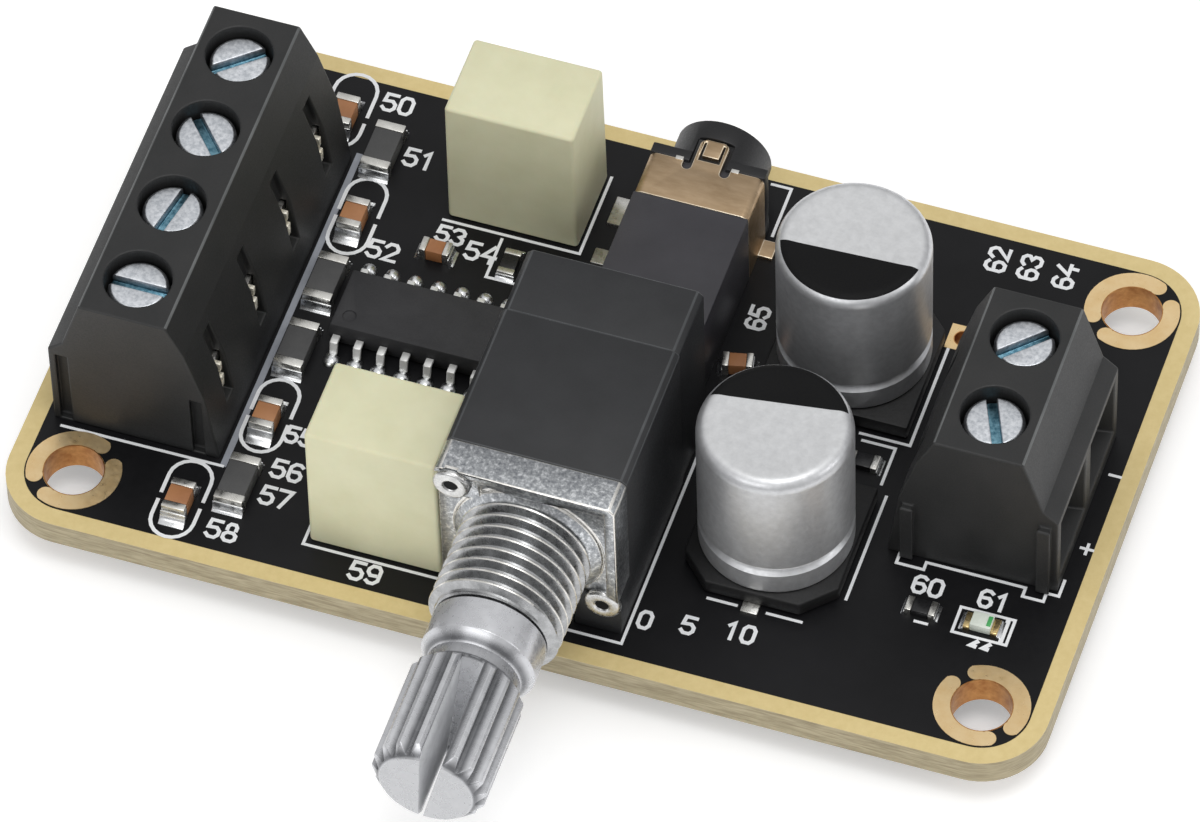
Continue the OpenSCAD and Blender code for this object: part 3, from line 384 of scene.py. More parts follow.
def drop_spurs(bm):
    """Take out corners between only two edges, which can fold a face flat on its neighbour."""
    for v in [v for v in bm.verts if len(v.link_edges) == 2]:
        kept = [[u for u in f.verts if u != v] for f in v.link_faces]
        bmesh.ops.delete(bm, geom=[v], context="VERTS")
        for corners in kept:
            if len(corners) > 2:
                bm.faces.new(corners)


def round_edges(bm, radius, sharper=35):
    """Ease the edges sharper than an angle, inside the shape's own box, and give the eased faces."""
    bmesh.ops.dissolve_degenerate(bm, dist=SHORTEST_EDGE, edges=bm.edges)
    bmesh.ops.triangulate(bm, faces=[f for f in bm.faces if len(f.verts) > 4])
    edges = [e for e in bm.edges if e.is_manifold and e.calc_face_angle(0) > math.radians(sharper)]
    box = box_of(bm)
    eased = bmesh.ops.bevel(bm, geom=edges, offset=radius, offset_type="OFFSET", segments=EDGE_STEPS,
                            profile=0.5, affect="EDGES", material=-1, clamp_overlap=False,
                            loop_slide=False)["faces"]
    for v in bm.verts:
        v.co = [min(max(v.co[k], low), high) for k, (low, high) in enumerate(box)]
    bmesh.ops.remove_doubles(bm, verts=bm.verts, dist=WELD)
    bmesh.ops.dissolve_degenerate(bm, dist=WELD, edges=bm.edges)
    drop_spurs(bm)
    return [f for f in eased if f.is_valid]


def second_finish(bm, faces, where=None):
    """Give the faces that pass a test the piece's second finish."""
    bm.normal_update()
    for f in faces:
        if where is None or where(f):
            f.material_index = 1


def softened(node, radius, finish=None, smooth=28, edge=None, where=None):
    """A CAD node again, with its sharp edges eased unless the radius is 0."""
    bm = copied(node)
    if radius:
        faces = round_edges(bm, radius)
        if edge:
            second_finish(bm, faces, where)
    slot = slot_of[node]
    piece(node + "_soft", bm, finish or slot, body_of[node], (node,), smooth, edge)


def slab(name, centre, size, finish, radius=0.02):
    """A small box with eased edges."""
    bm = bmesh.new()
    bmesh.ops.create_cube(bm, size=1, matrix=Matrix.Translation(centre) @ Matrix.Diagonal((*size, 1)))
    round_edges(bm, radius)
    piece(name, bm, finish)


def lathe(bm, profile, x, y, steps):
    """Turn a profile of radii and heights about an upright axis."""
    verts = [bm.verts.new((x + r, y, z)) for r, z in profile]
    edges = [bm.edges.new(pair) for pair in zip(verts, verts[1:])]
    bmesh.ops.spin(bm, geom=verts + edges, cent=(x, y, 0), axis=(0, 0, 1), dvec=(0, 0, 0),
                   angle=2 * math.pi, steps=steps, use_merge=True, use_duplicate=False)
    bmesh.ops.remove_doubles(bm, verts=bm.verts, dist=FINE_WELD)
    bmesh.ops.recalc_face_normals(bm, faces=bm.faces)


def arc(cx, cy, radius, start, stop, count):
    """Points of an arc in the plane, angles in degrees."""
    angles = [math.radians(start + (stop - start) * i / count) for i in range(count + 1)]
    return [(cx + radius * math.cos(a), cy + radius * math.sin(a)) for a in angles]


def extruded(bm, faces, along):
    """Extrude flat faces by a vector and give the new corners."""
    grown = bmesh.ops.extrude_face_region(bm, geom=faces)["geom"]
    verts = [g for g in grown if isinstance(g, bmesh.types.BMVert)]
    bmesh.ops.translate(bm, verts=verts, vec=along)
    return verts


def raise_faces(bm, faces, height):
    """Give flat faces a thickness along Z."""
    extruded(bm, faces, (0, 0, height))
    bmesh.ops.recalc_face_normals(bm, faces=bm.faces)


def cut_off(bm, at, outwards):
    """Cut a bmesh at a plane and drop what lies beyond it."""
    bmesh.ops.bisect_plane(bm, geom=bm.verts[:] + bm.edges[:] + bm.faces[:], plane_co=at, plane_no=outwards,
                           clear_outer=True)


def close_up(bm):
    """Fill the open ends that a cut leaves."""
    bmesh.ops.holes_fill(bm, edges=[e for e in bm.edges if e.is_boundary], sides=0)
    bmesh.ops.recalc_face_normals(bm, faces=bm.faces)


# Board: mask films, plated holes, foil and ink

HOLE_SETS = ((HOLES, HOLE_R), (HEADER_HOLES, HEADER_R))
MASK_CLEARANCE = 0.02   # between the mask and a hole's plating
PLATING_T = 0.05
PLATING_LOW, PLATING_HIGH = -0.02, BOARD_T + 0.055
FINE_LINE, FIGURE_LINE, BOLD_LINE, BROAD_LINE = 0.16, 0.2, 0.24, 0.34    # widths of ink lines
INK_STEP, INK_LEVELS = 0.0015, 5        # lines differ in height, so that those that cross show no flicker
TERMINAL_LINE = [(-17.08, -10.3), (-17.08, 10.6)]
CAPSULE_BOW, CAPSULE_OPENING = 0.8, 0.3
CORNER_STEPS, HOLE_STEPS, SLEEVE_STEPS = 14, 40, 56


def mask_film(name, z, thickness):
    """A film of solder mask with round corners and open holes."""
    bm = bmesh.new()
    size = Matrix.Diagonal((BOARD_L / 2 - BORDER, BOARD_W / 2 - BORDER, 1, 1))
    bmesh.ops.create_grid(bm, x_segments=1, y_segments=1, size=1, matrix=Matrix.Translation((0, 0, z)) @ size)
    bmesh.ops.bevel(bm, geom=bm.verts[:], offset=CORNER_R - BORDER, segments=CORNER_STEPS, profile=0.5,
                    affect="VERTICES", material=-1)
    bmesh.ops.delete(bm, geom=bm.faces[:], context="FACES_ONLY")
    for places, radius in HOLE_SETS:
        for x, y in places:
            bmesh.ops.create_circle(bm, cap_ends=False, radius=radius + MASK_CLEARANCE, segments=HOLE_STEPS,
                                    matrix=Matrix.Translation((x, y, z)))
    bmesh.ops.triangle_fill(bm, use_beauty=True, edges=bm.edges[:])
    raise_faces(bm, bm.faces[:], thickness)
    piece(name, bm, "solder_mask")


def hole_sleeves():
    """Plating in the mounting and header holes."""
    bm = bmesh.new()
    for places, outer in HOLE_SETS:
        inner = outer - PLATING_T
        profile = [(outer, PLATING_LOW), (outer, PLATING_HIGH), (inner, PLATING_HIGH), (inner, PLATING_LOW),
                   (outer, PLATING_LOW)]
        for x, y in places:
            lathe(bm, profile, x, y, SLEEVE_STEPS)
    piece("hole_sleeves", bm, "hole_plating")


def ribbon(bm, line, width, rise):
    """A flat line of ink with mitred corners; one that ends where it starts is closed."""
    points = [Vector(p) for p in line]
    closed = (points[0] - points[-1]).length < 1e-6
    if closed:
        points.pop()
    runs = [(b - a).normalized() for a, b in zip(points, points[1:] + points[:1])]
    if not closed:
        runs[-1] = runs[-2]
    rails = []
    for i, p in enumerate(points):
        before, after = runs[i - 1 if closed or i else 0], runs[i]
        along = (before + after).normalized()
        side = Vector((-along.y, along.x)) * width / 2 / max(0.5, along.dot(before))
        if not closed and i in (0, len(points) - 1):
            p = p + along * width / 2 * (1 if i else -1)
        rails.append([bm.verts.new((q.x, q.y, TOP)) for q in (p + side, p - side)])
    pairs = list(zip(rails, rails[1:] + (rails[:1] if closed else [])))
    raise_faces(bm, [bm.faces.new((a[0], a[1], b[1], b[0])) for a, b in pairs], rise)


def capsule(x, y, half, ends, gap):
    """Outline with round ends about an upright chip part, open where the part's middle is."""
    bow, upper, lower = ends - CAPSULE_BOW * half, gap + CAPSULE_OPENING, gap - CAPSULE_OPENING
    top = arc(x, y + bow, half, 0, 180, 10)
    bottom = arc(x, y - bow, half, 180, 360, 10)
    return [[(x + half, upper)] + top + [(x - half, upper)],
            [(x - half, lower)] + bottom + [(x + half, lower)]]


INK_LINES = [
    [(-25.82, -10.51), (-17.1, -10.45)],
    [(3.04, -14.85), (5.82, -14.85), (5.82, -2.4)],
    [(-11.5, 7.97), (-4.06, 7.97), (-4.06, 13.2)],
    [(-11.55, -8.4), (-11.55, -13.83), (-4.0, -13.83), (-4.0, -9.0)],
    [(9.1, -10.85), (10.6, -10.85)], [(12.25, -10.85), (14.04, -10.85)],
    [(15.77, -2.1), (15.77, -8.8)],
    [(13.3, 1.35), (15.95, 1.35), (15.95, 8.49)],
    [(13.55, 0.95), (15.3, 0.95), (15.3, -1.4)],
    [(17.05, -4.25), (17.05, -4.95), (17.5, -4.95), (17.5, -5.87), (18.95, -5.87), (18.95, -5.4),
     (24.2, -5.4), (24.2, -5.95), (25.3, -5.95), (25.3, -5.4), (25.95, -5.4), (25.95, -4.4)],
    [(21.45, -7.5), (24.3, -7.5), (24.3, -9.1), (21.45, -9.1), (21.45, -7.5)],
    [(-8.2, 7.65), (-8.2, 5.1), (-6.6, 5.1)],
    [(19.5, -9.05), (20.1, -9.05)],
    [(4.05, 15.3), (5.1, 15.3), (5.1, 12.1)],
    [(26.15, -2.16), (26.75, -2.16)], [(26.45, -2.46), (26.45, -1.86)],
    [(26.2, 2.67), (26.75, 2.67)],
]
BOLD_LINES = [[(23.98, -7.65), (23.98, -8.95)], [(22.85, -9.34), (22.6, -9.62), (22.8, -9.64)],
              [(23.5, -9.34), (23.25, -9.62), (23.45, -9.64)]]
CAPSULES = [  # x, y, half width, reach of its ends, middle of its gap
    (-18.65, 13.28, 1.15, 2.24, 12.9), (-18.4, -13.05, 1.13, 2.24, -13.15),
    (-15.85, 6.83, 1.08, 2.3, 6.8), (-15.85, -6.7, 1.08, 2.15, -6.8),
]
DIGITS = [  # strokes of 0 to 9 in a cell 0.6 wide and 1 high
    [[(.15, 0), (.45, 0), (.6, .2), (.6, .8), (.45, 1), (.15, 1), (0, .8), (0, .2), (.15, 0)]],
    [[(.1, .8), (.32, 1), (.32, 0)]],
    [[(0, .8), (.15, 1), (.45, 1), (.6, .8), (.6, .62), (0, 0), (.6, 0)]],
    [[(0, .86), (.15, 1), (.45, 1), (.6, .84), (.6, .66), (.4, .52), (.6, .38), (.6, .16), (.45, 0),
      (.15, 0), (0, .14)]],
    [[(.45, 1), (0, .36), (.64, .36)], [(.45, .16), (.45, 0)]],
    [[(.58, 1), (.05, 1), (0, .56), (.42, .6), (.6, .42), (.6, .18), (.45, 0), (.15, 0), (0, .14)]],
    [[(.55, .9), (.42, 1), (.18, 1), (0, .8), (0, .2), (.15, 0), (.45, 0), (.6, .2), (.6, .38),
      (.45, .56), (.2, .54)]],
    [[(0, 1), (.6, 1), (.22, 0)]],
    [[(.15, .5), (0, .36), (0, .14), (.15, 0), (.45, 0), (.6, .14), (.6, .36), (.45, .5), (.15, .5)],
     [(.08, .7), (.08, .86), (.18, 1), (.42, 1), (.52, .86), (.52, .7)]],
    [[(.05, .1), (.18, 0), (.42, 0), (.6, .2), (.6, .8), (.45, 1), (.15, 1), (0, .8), (0, .62),
      (.15, .44), (.4, .46)]],
]
FIGURE_ADVANCE = 0.85
NUMBERS = [  # plain numbers beside the parts: text, left end, middle height, size, turn
    ("50", -17.0, 14.45, 1.05, 0), ("51", -14.75, 11.35, 1.05, 0), ("52", -14.6, 5.1, 1.05, 0),
    ("53", -11.5, 7.1, 0.95, 0), ("54", -9.7, 6.5, 1.05, 0), ("55", -14.65, -7.5, 0.95, 0),
    ("56", -14.6, -9.75, 1.05, 0), ("57", -14.6, -11.5, 1.05, 0), ("58", -16.5, -14.3, 1.05, 0),
    ("59", -8.7, -14.6, 1.05, 0), ("60", 18.75, -6.8, 1.0, 0), ("61", 22.2, -6.65, 1.0, 0),
    ("0", 6.2, -13.1, 1.0, 0), ("5", 8.4, -12.75, 1.0, 0), ("10", 10.6, -12.4, 1.0, 0),
    ("62", 16.66, 13.4, 1.0, 90), ("63", 18.4, 13.4, 1.0, 90), ("64", 20.3, 13.4, 1.0, 90),
    ("65", 6.02, 6.1, 0.95, 90),
]


def number_strokes(text, x, y, size, turn):
    """Ink lines of a plain number."""
    c, s = size * math.cos(math.radians(turn)), size * math.sin(math.radians(turn))
    cells = [[(u + i * FIGURE_ADVANCE, v - 0.5) for u, v in line]
             for i, figure in enumerate(text) for line in DIGITS[int(figure)]]
    return [[(x + u * c - v * s, y + u * s + v * c) for u, v in line] for line in cells]


def board_ink():
    """The lines and numbers printed on the mask."""
    bm = bmesh.new()
    lines = [(line, FINE_LINE) for line in INK_LINES] + [(line, BOLD_LINE) for line in BOLD_LINES]
    lines += [(line, FIGURE_LINE) for place in CAPSULES for line in capsule(*place)]
    lines += [(line, FIGURE_LINE) for number in NUMBERS for line in number_strokes(*number)]
    for i, (line, width) in enumerate(lines):
        ribbon(bm, line, width, INK_T + INK_STEP * (i % INK_LEVELS))
    piece("board_ink", bm, "white_ink")
    bm = bmesh.new()
    # the terminal's outline: white ink painted grey as painted shadow
    ribbon(bm, TERMINAL_LINE, BROAD_LINE, INK_T * 0.8)
    piece("terminal_outline", bm, "shaded_white_ink")


laminate_slots = frame["nodes"]["circuit_board"].data.materials
laminate_slots.clear()
laminate_slots.append(FINISH["laminate"].material)
mask_film("solder_mask_top", BOARD_T, MASK_T)
mask_film("solder_mask_under", -UNDER_MASK_T, UNDER_MASK_T)
hole_sleeves()
board_ink()
softened("mounting_rings", 0)
softened("header_pads", 0)


# Amplifier chip, chip parts and their solder

CHIP_X, CHIP_Y = -9.6, 0.55
ROW_LEADS, LEAD_PITCH = 8, 1.27
TOE_OUT, TOE_LIFT = 2.95, 0.05          # a toe's middle, from the chip's middle line and from the board
TOE_WIDE, TOE_LONG = 0.44, 0.5          # half widths
TOE_RISE = {-1: 0.3, 1: 0.52}           # front and rear row
UPRIGHT, FLAT = 90, 0
COLUMN_X = -15.87
LAMP_X, LAMP_Y = 22.8, -8.3
CERAMIC, SMALL_CERAMIC = (1.9, 1.2, 1.05), (1.6, 0.85, 0.85)    # length, width, height
BEAD, RESISTOR, LAMP = (3.0, 1.5, 1.0), (1.6, 0.85, 0.45), (1.8, 0.9, 0.3)
PARTS = [  # size, x, y, turn, reach of its solder
    (CERAMIC, -18.6, 12.65, UPRIGHT, 0.5), (CERAMIC, -18.35, -13.45, UPRIGHT, 0.5),
    (CERAMIC, COLUMN_X, 6.385, UPRIGHT, 0.6), (CERAMIC, COLUMN_X, -7.16, UPRIGHT, 0.6),
    (BEAD, COLUMN_X, 11.05, UPRIGHT, 0.32), (BEAD, COLUMN_X, 2.02, UPRIGHT, 0.32),
    (BEAD, COLUMN_X, -2.495, UPRIGHT, 0.32), (BEAD, COLUMN_X, -11.525, UPRIGHT, 0.32),
    (SMALL_CERAMIC, -11.1, 5.65, FLAT, 0.3), (SMALL_CERAMIC, 6.05, 3.4, 13, 0.3),
    (RESISTOR, -7.25, 6.15, UPRIGHT, 0.3), (RESISTOR, 14.05, -0.45, FLAT, 0.25),
    (RESISTOR, 19.6, -8.3, FLAT, 0.2), (LAMP, LAMP_X, LAMP_Y, FLAT, 0.25),
]
SOLDER_CLIMB = 0.6      # share of a part's height that its solder climbs
SOLDER_LIP = 0.06       # blunt edges of a fillet
SOLDER_SPILL = 0.08     # solder past a part's sides
SOLDER_LAP = 0.02       # solder over a part's end
SOLDER_EDGE, SOLDER_SHARP = 0.022, 50
LAMP_MARK, MARK_ASIDE, MARK_Z = (0.22, 0.62, 0.06), 0.4, 2.16


def fillet_profile(reach, rise):
    """Section of a concave fillet with blunt edges."""
    angles = [math.radians(a) for a in (18, 36, 54, 72, 90)]
    hollow = [(reach - (reach - SOLDER_LIP) * math.sin(a), rise - (rise - SOLDER_LIP) * math.cos(a))
              for a in angles]
    return [(0, 0), (reach, 0), (reach, SOLDER_LIP)] + hollow + [(0, rise)]


def solder_wedges():
    """Concave fillets from each chip part's ends down to its pads."""
    bm = bmesh.new()
    for (length, width, height), x, y, turn, reach in PARTS:
        for side in (0, 180):
            near = [bm.verts.new((u, 0, w)) for u, w in fillet_profile(reach, SOLDER_CLIMB * height)]
            far = extruded(bm, [bm.faces.new(near)], (0, width + 2 * SOLDER_SPILL, 0))
            place = (Matrix.Translation((x, y, BOARD_T)) @ Matrix.Rotation(math.radians(turn + side), 4, "Z")
                     @ Matrix.Translation((length / 2 - SOLDER_LAP, -width / 2 - SOLDER_SPILL, 0)))
            bmesh.ops.transform(bm, matrix=place, verts=near + far)
    bmesh.ops.recalc_face_normals(bm, faces=bm.faces)
    round_edges(bm, SOLDER_EDGE, SOLDER_SHARP)
    piece("chip_part_solder", bm, "solder", smooth=50)


def lead_solder():
    """Soldered toes of the chip's leads."""
    bm = bmesh.new()
    for row, rise in TOE_RISE.items():
        for i in range(ROW_LEADS):
            x = CHIP_X + (i - (ROW_LEADS - 1) / 2) * LEAD_PITCH
            middle = Matrix.Translation((x, CHIP_Y + row * TOE_OUT, BOARD_T + TOE_LIFT))
            shape = middle @ Matrix.Diagonal((TOE_WIDE, TOE_LONG, rise, 1))
            bmesh.ops.create_uvsphere(bm, u_segments=16, v_segments=10, radius=1, matrix=shape)
    cut_off(bm, (0, 0, BOARD_T), (0, 0, -1))
    close_up(bm)
    piece("lead_solder", bm, "solder", smooth=60)


solder_wedges()
lead_solder()
softened("amplifier_chip_leads", 0.05, "lead_tin")
for name in ("ceramic_capacitor_ends", "ferrite_bead_ends", "resistor_ends", "indicator_led_ends",
             "amplifier_chip", "ceramic_capacitors", "ferrite_beads", "resistors", "indicator_led"):
    softened(name, 0.05)
slab("lamp_mark", (LAMP_X + MARK_ASIDE, LAMP_Y, MARK_Z), LAMP_MARK, "led_green")


# Electrolytic cans

REAR_CAN, FRONT_CAN = (11.6, 5.7), (11.35, -6.5)
CAN_STEPS = 112
FOOT_R = 0.3
WAIST_Z, WAIST_H, WAIST_DEPTH = 4.2, 0.7, 0.28
PRINT_IN, PRINT_OUT = -0.01, 0.014      # the print's two sides, from the can's skin


def can(name, x, y):
    """A drawn can with a waist above its base, a round rim and a shallow dish in its top."""
    waist = [(CAN_R - WAIST_DEPTH * math.sin(math.pi * t), WAIST_Z + WAIST_H * t)
             for t in (i / 10 for i in range(11))]
    profile = ([(0, CAN_FOOT)] + arc(CAN_R - FOOT_R, CAN_FOOT + FOOT_R, FOOT_R, -90, 0, 5) + waist
               + arc(CAN_R - CAN_RIM, CAN_TOP - CAN_RIM, CAN_RIM, 0, 90, 9)
               + [(DISH_R, CAN_TOP - DISH_RIM), (0, CAN_TOP - DISH)])
    bm = bmesh.new()
    lathe(bm, profile, x, y, CAN_STEPS)
    piece(name + "_shell", bm, "can_aluminium", replaced=(name,), smooth=40)


def polarity_mark(name, x, y, edge, turn, side):
    """Black segment printed on a can's top beyond a chord, down over the rim."""
    def skin(lift):
        return ([(0, CAN_TOP - DISH + lift), (DISH_R, CAN_TOP - DISH_RIM + lift)]
                + arc(CAN_R - CAN_RIM, CAN_TOP - CAN_RIM, CAN_RIM + lift, 90, 52, 6))
    bm = bmesh.new()
    lathe(bm, skin(PRINT_OUT) + skin(PRINT_IN)[::-1], x, y, CAN_STEPS)
    printed_side = Vector((-math.sin(math.radians(turn)), math.cos(math.radians(turn)), 0)) * side
    cut_off(bm, Vector((x, y, CAN_TOP)) + printed_side * edge, -printed_side)
    close_up(bm)
    piece(name, bm, "black_print_and_bore_shade", smooth=40)


can("electrolytic_can_rear", *REAR_CAN)
can("electrolytic_can_front", *FRONT_CAN)
polarity_mark("rear_polarity_mark", *REAR_CAN, 0.9, 2.4, -1)
polarity_mark("front_polarity_mark", *FRONT_CAN, 1.3, 8, 1)
for name in ("electrolytic_base_rear", "electrolytic_base_front"):
    softened(name, 0.1)
softened("electrolytic_tabs", 0.03)


# Film capacitors

for name in ("film_capacitor_rear", "film_capacitor_front"):
    softened(name, 0, smooth=45)
softened("film_capacitor_leads", 0.04)


# Screw terminals

BACK_FACE, BACK_LEAN = -17.4, 0.125     # the speaker terminal's back face at the board, and its slope
LEG_GLINTS = (("low", 7.68, 4.95, 0.36, 0.85), ("high", 7.8, 5.9, 0.26, 0.6))    # y, z, width, height
GLINT_DEPTH, GLINT_SUNK = 0.5, 0.05
TERMINAL_TOP, LONG_EDGE_AREA = 11.4, 0.12    # height of the top's edges, least area of a long one


def long_top_edge(f):
    """Tests for the long edges along a terminal's top, which get a painted highlight."""
    on_top = f.calc_center_median().z > TERMINAL_TOP
    return on_top and abs(f.normal.y) < 0.2 and f.calc_area() > LONG_EDGE_AREA


def leg_glints():
    """Painted glints: bright slabs for the contact legs that show in the speaker terminal's back windows."""
    for i in range(4):
        for name, y, z, wide, high in LEG_GLINTS:
            face = BACK_FACE - BACK_LEAN * (z + high / 2 - BOARD_T)
            slab(f"leg_glint_{name}_{i + 1}", (face - GLINT_SUNK - GLINT_DEPTH / 2, y - POLE_PITCH * i, z),
                 (GLINT_DEPTH, wide, high), "leg_tin_glint", 0.04)


# the long top edges of both housings get the painted highlight
for name in ("speaker_terminal_housing", "power_terminal_housing"):
    softened(name, 0.09, smooth=6, edge="terminal_edge_highlight", where=long_top_edge)
for name in ("speaker_terminal_contacts", "power_terminal_contacts"):
    softened(name, 0.03)
leg_glints()
for kind, count in (("speaker", 4), ("power", 2)):
    for i in range(1, count + 1):
        softened(f"{kind}_clamp_screw_{i}", 0.05)
        softened(f"{kind}_clamp_cage_{i}", 0.05)


# Volume control

THREAD_START, BUSH_END = -14.93, -20.25
CREST, ROOT, BORE = 3.5, 3.08, 2.55     # radii
PITCH, TURNS, TURN_STEPS = 0.7, 10, 64
RUN_IN = 1.1            # thread turned before its start and cut off again
PLATE_LAP = 0.35        # thread inside the plate
END_EASE, END_FACE, CHAMFER = 0.04, ROOT - 0.1, 1.5    # the bushing's end: depth, radius and slope
VALLEY, ROUNDED = ROOT - 0.05, CREST - 0.03
THREAD_SHAPE = [(0, VALLEY), (0.14, ROOT), (0.41, ROUNDED), (0.5, CREST), (0.59, ROUNDED), (0.86, ROOT),
                (1, VALLEY)]    # share of a pitch, radius
# the thread's crests beyond this radius carry the painted highlight
HIGHLIGHT_FROM = CREST - 0.04
RIVET_X, RIVET_Z = 3.85, 3.65           # from the shaft's axis
RIVET_BORE, BORE_DEPTH = 0.38, 0.5
HOUSING_TOP = 12.3


def off_axis(point):
    """Distance from the volume shaft's axis."""
    return math.hypot(point.x - AXIS_X, point.z - AXIS_Z)


def set_radius(v, radius, y):
    """Move a corner straight to or from the shaft's axis, and to a place along it."""
    scale = radius / off_axis(v.co)
    v.co = (AXIS_X + (v.co.x - AXIS_X) * scale, y, AXIS_Z + (v.co.z - AXIS_Z) * scale)


def step_in(bm, rim, radius, y):
    """Carry an open end on to a smaller circle, and give its new rim."""
    grown = bmesh.ops.extrude_edge_only(bm, edges=rim)["geom"]
    for v in (g for g in grown if isinstance(g, bmesh.types.BMVert)):
        set_radius(v, radius, y)
    return [g for g in grown if isinstance(g, bmesh.types.BMEdge) and g.is_boundary]


def bushing():
    """The threaded bushing: a true helix outside, a chamfered end and a plain bore."""
    bm = bmesh.new()
    back_y, front_y = THREAD_START + PLATE_LAP, BUSH_END + END_EASE
    verts = [bm.verts.new((AXIS_X, THREAD_START + RUN_IN - u * PITCH, AXIS_Z + r)) for u, r in THREAD_SHAPE]
    edges = [bm.edges.new(pair) for pair in zip(verts, verts[1:])]
    bmesh.ops.spin(bm, geom=verts + edges, cent=(AXIS_X, 0, AXIS_Z), axis=(0, 1, 0),
                   dvec=(0, -PITCH / TURN_STEPS, 0), angle=2 * math.pi * TURNS, steps=TURN_STEPS * TURNS,
                   use_merge=False, use_duplicate=False)
    bmesh.ops.remove_doubles(bm, verts=bm.verts, dist=CAD_WELD)
    cut_off(bm, (0, back_y, 0), (0, 1, 0))
    cut_off(bm, (0, front_y, 0), (0, -1, 0))
    for v in bm.verts:
        cone = VALLEY + max(0.0, v.co.y - front_y) * CHAMFER
        set_radius(v, min(off_axis(v.co), cone), v.co.y)
    rims = [e for e in bm.edges if e.is_boundary]
    middle_y = (front_y + back_y) / 2
    front = [e for e in rims if e.verts[0].co.y < middle_y]
    back = [e for e in rims if e.verts[0].co.y > middle_y]
    front = step_in(bm, step_in(bm, front, END_FACE, BUSH_END), BORE, BUSH_END)
    back = step_in(bm, back, BORE, back_y)
    bmesh.ops.bridge_loops(bm, edges=front + back)
    bmesh.ops.remove_doubles(bm, verts=bm.verts, dist=FINE_WELD)
    bmesh.ops.recalc_face_normals(bm, faces=bm.faces)
    # painted highlight: the thread's crests get the bright zinc
    second_finish(bm, bm.faces, lambda f: all(off_axis(v.co) > HIGHLIGHT_FROM for v in f.verts))
    piece("bushing_thread", bm, "threaded_zinc", smooth=25, edge="highlight_zinc")


def bushing_plate():
    """The die-cast plate, cut off where the thread starts."""
    bm = copied("volume_bushing_plate")
    cut_off(bm, (0, THREAD_START, 0), (0, -1, 0))
    # painted highlight: every eased edge of the plate gets the bright zinc
    second_finish(bm, round_edges(bm, 0.09))
    bmesh.ops.triangle_fill(bm, use_beauty=True, edges=[e for e in bm.edges if e.is_boundary])
    bmesh.ops.recalc_face_normals(bm, faces=bm.faces)
    piece("bushing_plate", bm, "die_cast_zinc", replaced=("volume_bushing_plate",),
          edge="highlight_zinc")


def volume_shaft():
    """The splined shaft, with a milled finish inside its slot, painted lighter and less metallic so that the
    slot's walls look lit.
    """
    def in_slot(f):
        at = f.calc_center_median()
        return at.y < SPLINE_START and abs(f.normal.y) < 0.9 and off_axis(at) < GROOVE_R
    bm = copied("volume_shaft")
    round_edges(bm, 0.036)
    # the slot's walls get the painted light finish
    second_finish(bm, bm.faces, in_slot)
    piece("volume_shaft_soft", bm, "turned_aluminium", "volume", ("volume_shaft",),
          smooth=24, edge="lit_milled_slot")


def rivet_bore_shade(name, x, y, z):
    """Painted shade: a black disc down in a rivet's bore."""
    bm = bmesh.new()
    bmesh.ops.create_cone(bm, cap_ends=True, segments=24, radius1=RIVET_BORE, radius2=RIVET_BORE,
                          depth=BORE_DEPTH,
                          matrix=Matrix.Translation((x, y, z)) @ Matrix.Rotation(math.pi / 2, 4, "X"))
    piece(name, bm, "black_print_and_bore_shade")


def upper_edge(f):
    """Tests for the edges along the top of the control's housings, which get a painted highlight."""
    return f.calc_center_median().z > HOUSING_TOP


bushing_plate()
bushing()
# the top edges of both housings get the painted highlight
for name in ("volume_front_housing", "volume_rear_housing"):
    softened(name, 0.07, edge="control_edge_highlight", where=upper_edge)
softened("volume_rivets", 0.04)
# painted shade: black discs down in the rivets' bores
rivet_bore_shade("upper_rivet_bore_shade", AXIS_X - RIVET_X, -14.57, AXIS_Z + RIVET_Z)
rivet_bore_shade("lower_rivet_bore_shade", AXIS_X + RIVET_X, -14.32, AXIS_Z - RIVET_Z)
softened("volume_terminals", 0.04)
volume_shaft()
for name in ("volume_elements", "volume_rotors", "volume_wipers"):
    softened(name, 0.03)


# Audio jack

LUG_OUT, LUG_Y, LUG_Z = 1.5, 11.86, 6.6      # the first is from the jack's middle
LUG = (0.42, 0.24, 0.08)

softened("jack_housing", 0.07)
# every eased edge of the collar gets the painted highlight
softened("jack_collar", 0.05, edge="collar_edge_highlight")
softened("jack_contacts", 0.04)
for name, side in (("collar_lug_left", -1), ("collar_lug_right", 1)):
    slab(name, (JACK_X + side * LUG_OUT, LUG_Y, LUG_Z), LUG, "tinned_contact")


# Floor, light and camera

FLOOR_HALF, FLOOR_Z = 2500, -1.85
AIM_Z = 4               # height that the lights point at


def floor():
    """A plain pale floor under the board's pins."""
    bm = bmesh.new()
    bmesh.ops.create_grid(bm, x_segments=1, y_segments=1, size=FLOOR_HALF * MM,
                          matrix=Matrix.Translation((0, 0, FLOOR_Z * MM)))
    mesh = bpy.data.meshes.new("floor")
    bm.to_mesh(mesh)
    bm.free()
    f = Finish("floor_white", Roughness=0.9, Specular_IOR_Level=0.1, Emission_Color=(1, 1, 1, 1),
               Emission_Strength=0.3)
    f.shades(f.noise(0.02, 2), (0.3, tone(244, 244, 245)), (0.7, tone(247, 247, 247)))
    mesh.materials.append(f.material)
    obj = bpy.data.objects.new("floor", mesh)
    bpy.context.scene.collection.objects.link(obj)


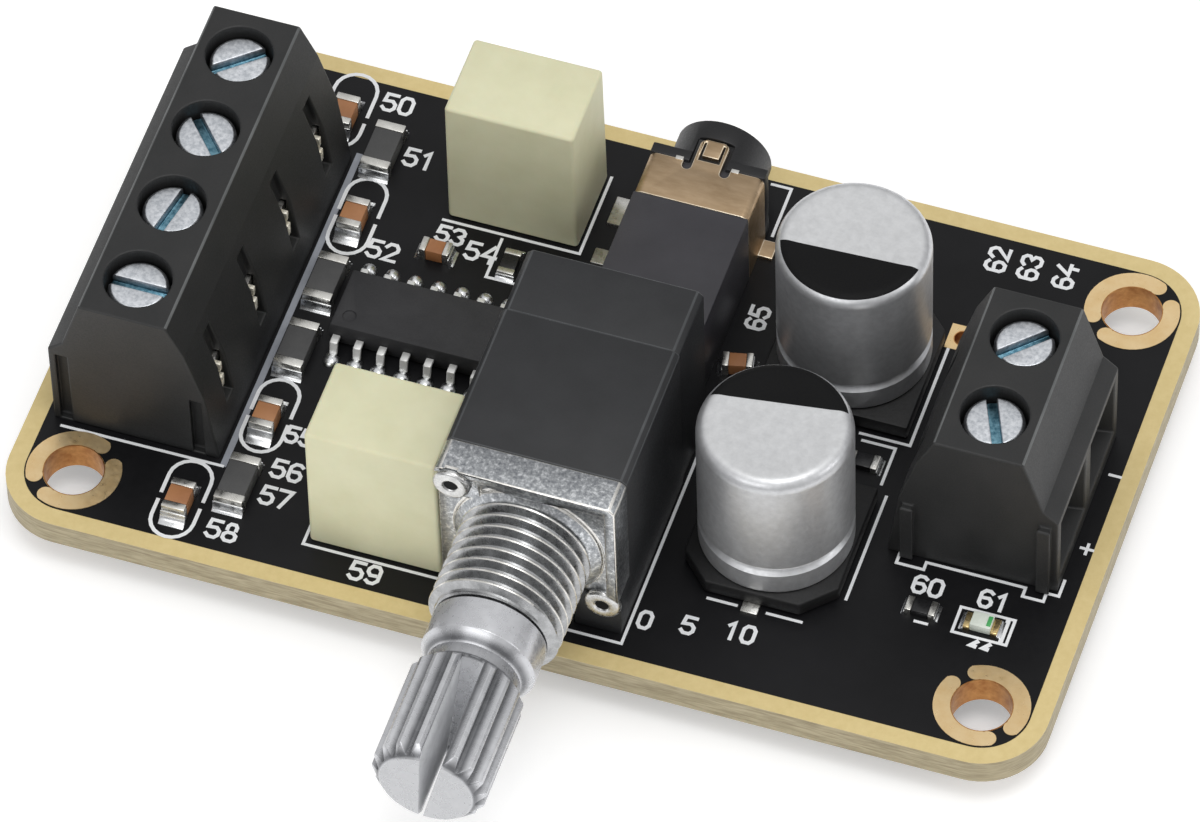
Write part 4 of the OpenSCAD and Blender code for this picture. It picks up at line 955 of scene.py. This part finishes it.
def softbox(name, at, size, power):
    """An area light that points at the board; its place and size are in metres."""
    light = bpy.data.lights.new(name, "AREA")
    light.shape = "RECTANGLE"
    light.size, light.size_y = size
    light.energy = power
    obj = bpy.data.objects.new(name, light)
    obj.location = at
    obj.rotation_euler = (Vector((0, 0, AIM_Z * MM)) - Vector(at)).to_track_quat("-Z", "Y").to_euler()
    bpy.context.scene.collection.objects.link(obj)


def studio():
    """A pale surround, brighter overhead, and three softboxes."""
    world = bpy.data.worlds.new("studio")
    world.use_nodes = True
    tree = world.node_tree
    back = tree.nodes["Background"]
    coord = tree.nodes.new("ShaderNodeTexCoord")
    split = tree.nodes.new("ShaderNodeSeparateXYZ")
    ramp = tree.nodes.new("ShaderNodeValToRGB")
    tree.links.new(coord.outputs["Generated"], split.inputs[0])
    tree.links.new(split.outputs["Z"], ramp.inputs["Fac"])
    tree.links.new(ramp.outputs["Color"], back.inputs["Color"])
    elements = ramp.color_ramp.elements
    for at, level in ((0.35, 0.58), (0.7, 0.92)):
        elements.new(at).color = (level, level, level * 1.01, 1)
    elements[0].color, elements[-1].color = (0.3, 0.3, 0.305, 1), (1.1, 1.1, 1.1, 1)
    back.inputs["Strength"].default_value = 0.74
    bpy.context.scene.world = world
    softbox("overhead", (0.10, -0.10, 0.62), (0.30, 0.26), 0.85)
    softbox("front", (-0.10, -0.56, 0.42), (0.50, 0.26), 0.8)
    softbox("side", (0.60, 0.02, 0.30), (0.22, 0.30), 0.5)
    bpy.context.scene.view_settings.view_transform = "Standard"


def photo_camera():
    """The camera fitted to the photograph's view."""
    data = bpy.data.cameras.new("camera")
    data.sensor_fit = "HORIZONTAL"
    data.sensor_width = 36.0
    data.lens = 323.883
    data.clip_start, data.clip_end = 0.01, 10.0
    camera = bpy.data.objects.new("camera", data)
    target, distance = Vector((0.1535, -1.2931, BOARD_T)) * MM, 552.564 * MM
    rise, yaw, roll = (math.radians(a) for a in (53.319, 20.161, -2.093))
    turn = (Matrix.Rotation(yaw, 4, "Z") @ Matrix.Rotation(math.pi / 2 - rise, 4, "X")
            @ Matrix.Rotation(roll, 4, "Z"))
    camera.matrix_world = Matrix.Translation(target + turn @ Vector((0, 0, distance))) @ turn
    bpy.context.scene.collection.objects.link(camera)
    bpy.context.scene.camera = camera


floor()
studio()
photo_camera()
